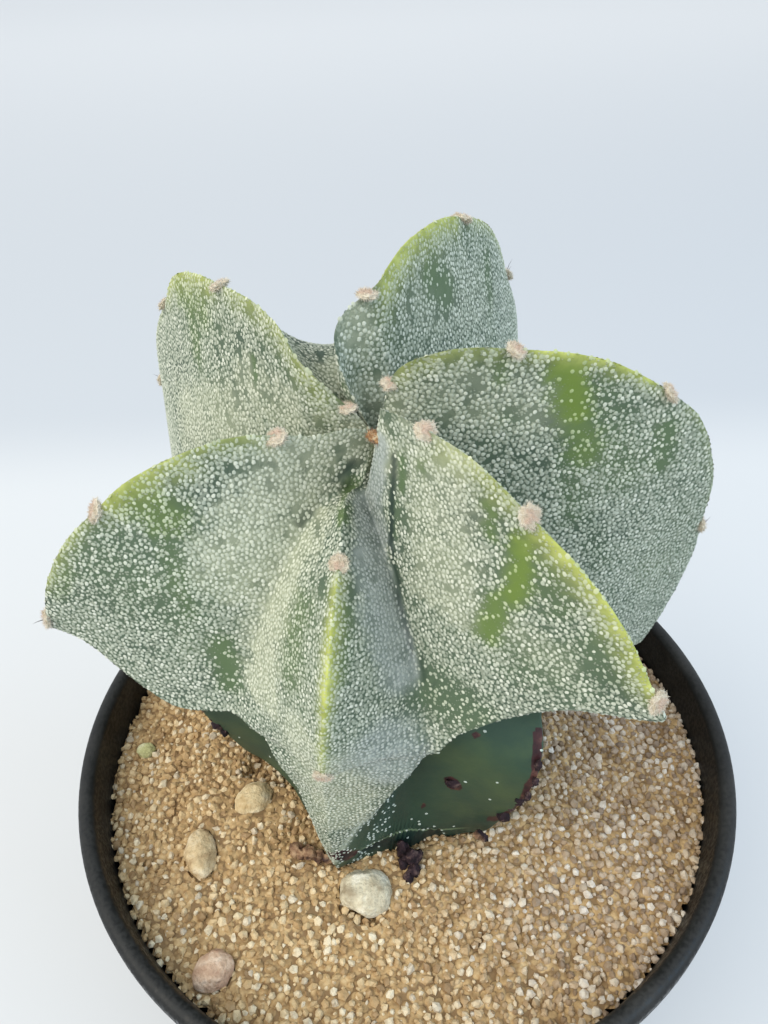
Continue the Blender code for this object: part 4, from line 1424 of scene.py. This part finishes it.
def buildPot(material):
    bm = bmesh.new()
    verts = [bm.verts.new((radius, 0.0, height)) for radius, height in potProfile()]
    edges = [bm.edges.new(pair) for pair in zip(verts, verts[1:])]
    bmesh.ops.spin(bm, geom=verts + edges, cent=(0, 0, 0), axis=(0, 0, 1), angle=math.tau,
                   steps=pot["steps"], use_merge=True)
    bmesh.ops.remove_doubles(bm, verts=bm.verts, dist=0.00002)
    bmesh.ops.recalc_face_normals(bm, faces=bm.faces)
    steadyOrder(bm)
    shell = makePiece("potShell", bm, material)
    drains = bmesh.new()
    for index in range(pot["drains"]):
        facing = math.tau * (index + 0.5) / pot["drains"]
        x, y = pot["drainRing"] * math.cos(facing), pot["drainRing"] * math.sin(facing)
        middle = Matrix.Translation((x, y, 0))
        bmesh.ops.create_cone(drains, cap_ends=True, segments=pot["drainSides"],
                              radius1=pot["drainRadius"], radius2=pot["drainRadius"],
                              depth=pot["drainDepth"], matrix=middle)
    cutter = link(bpy.data.objects.new("drainHoles", meshFrom("drainHoles", drains)))
    cut = shell.modifiers.new("Drains", "BOOLEAN")
    cut.operation = "DIFFERENCE"
    cut.object = cutter
    bpy.context.view_layer.update()
    holed = bpy.data.meshes.new_from_object(shell.evaluated_get(bpy.context.evaluated_depsgraph_get()))
    shell.modifiers.clear()
    shell.data = holed
    bpy.data.objects.remove(cutter)
    holed.set_sharp_from_angle(angle=math.radians(pot["sharpAngle"]))
    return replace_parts(shell, "pot")


def makePotMaterial():
    material, tree, shader = startMaterial("blackPlastic", 0.42, 0.25)
    place = objectPlace(tree)
    broad = mottle(tree, place, 90.0, 1.8)
    fine = mottle(tree, place, 1600.0, 1.8)
    colour = ramp(tree, broad, ((0.3, 9, 10, 10), (0.7, 16, 17, 17)))
    split = addNode(tree, "ShaderNodeSeparateXYZ", {0: place})
    normal = addNode(tree, "ShaderNodeNewGeometry").outputs["Normal"]
    facing = addNode(tree, "ShaderNodeSeparateXYZ", {0: normal})
    upward = spread(tree, facing.outputs[2], 0.2, 0.95)
    high = spread(tree, split.outputs[2], 0.0855, 0.0885)
    # Dust, and a painted sheen: the upward faces of the rim are lightened grey
    dustAndSheen = scaled(tree, scaled(tree, upward, high), spread(tree, fine, 0.25, 0.75, 0.35, 1.0))
    colour = mixColour(tree, scaled(tree, dustAndSheen, 0.3), colour, paint(70, 70, 68))
    film = scaled(tree, spread(tree, broad, 0.4, 0.8), 0.05)
    colour = mixColour(tree, film, colour, paint(120, 116, 108))
    setColour(tree, shader, colour)
    tree.links.new(spread(tree, fine, 0.3, 0.7, 0.36, 0.62), shader.inputs["Roughness"])
    addBump(tree, shader, fine, 0.00006, 0.5)
    return material


buildPot(makePotMaterial())
print("pot made")


# Floor, light and camera

studio = {
    "floorSize": 6.0,
    "floorCuts": 8,
    "edgeAt": 0.21,
    "edgeSoft": 0.035,
    "farAt": 1.3,
    "near": paint(206, 207, 207),
    "beyond": paint(190, 193, 196),
    "far": paint(225, 225, 224),
    "skyColour": (0.87, 0.93, 1.0, 1.0),
    "skyStrength": 1.04,
    "keyColour": (1.0, 0.94, 0.82),
    "keyPower": 9.4,
    "keyPlace": (-0.60, -0.42, 0.88),
    "keySize": 0.9,
    "fillColour": (0.46, 0.72, 1.0),
    "fillPower": 3.2,
    "fillPlace": (0.7, -0.3, 0.6),
    "fillSize": 0.6,
    "aim": (0, 0, 0.11),
}


def buildFloor():
    bm = bmesh.new()
    bmesh.ops.create_grid(bm, x_segments=studio["floorCuts"], y_segments=studio["floorCuts"],
                          size=studio["floorSize"] / 2)
    mesh = meshFrom("floor", bm)
    material, tree, shader = startMaterial("paleTable", 0.85, 0.2)
    place = objectPlace(tree)
    split = addNode(tree, "ShaderNodeSeparateXYZ", {0: place})
    edge = studio["edgeAt"]
    past = spread(tree, split.outputs[1], edge - studio["edgeSoft"], edge + studio["edgeSoft"])
    colour = mixColour(tree, past, studio["near"], studio["beyond"])
    distance = spread(tree, split.outputs[1], edge, studio["farAt"])
    colour = mixColour(tree, distance, colour, studio["far"])
    cloud = mottle(tree, place, 4.0, 0.6)
    colour = mixColour(tree, scaled(tree, cloud, 0.06), colour, paint(205, 214, 224))
    setColour(tree, shader, colour)
    mesh.materials.append(material)
    floor = link(bpy.data.objects.new("floor", mesh))


def addSoftLight(name, colour, power, place, size):
    light = bpy.data.lights.new(name, "AREA")
    light.shape = "SQUARE"
    light.size = size
    light.color = colour
    light.energy = power
    lamp = link(bpy.data.objects.new(name, light))
    lamp.location = place
    lamp.rotation_mode = "QUATERNION"
    facing = Vector(studio["aim"]) - Vector(place)
    lamp.rotation_quaternion = facing.to_track_quat("-Z", "Y")


def buildSky():
    world = bpy.data.worlds.new("softRoom")
    bpy.context.scene.world = world
    world.use_nodes = True
    back = world.node_tree.nodes["Background"]
    back.inputs["Color"].default_value = studio["skyColour"]
    back.inputs["Strength"].default_value = studio["skyStrength"]


view = {
    "place": (-0.00173, -0.0793, 0.2024),
    "pitch": 40.10,
    "roll": -0.040,
    "lens": 28.125,
    "sensor": 36.0,
    "clip": (0.002, 50.0),
}


def buildCamera():
    lens = bpy.data.cameras.new("camera")
    lens.lens = view["lens"]
    lens.sensor_width = view["sensor"]
    lens.clip_start, lens.clip_end = view["clip"]
    camera = link(bpy.data.objects.new("camera", lens))
    pitch = math.radians(view["pitch"])
    forward = Vector((0, math.cos(pitch), -math.sin(pitch)))
    right = Vector((1, 0, 0))
    up = Vector((0, math.sin(pitch), math.cos(pitch)))
    across = right * math.cos(view["roll"]) + up * math.sin(view["roll"])
    upward = up * math.cos(view["roll"]) - right * math.sin(view["roll"])
    turned = Matrix((across, upward, -forward)).transposed().to_4x4()
    turned.translation = Vector(view["place"])
    camera.matrix_world = turned
    bpy.context.scene.camera = camera


buildFloor()
buildSky()
for lamp in ("key", "fill"):
    settings = [studio[lamp + part] for part in ("Colour", "Power", "Place", "Size")]
    addSoftLight(lamp + "Light", *settings)
buildCamera()
bpy.context.scene.view_settings.view_transform = "Standard"
print("studio made")
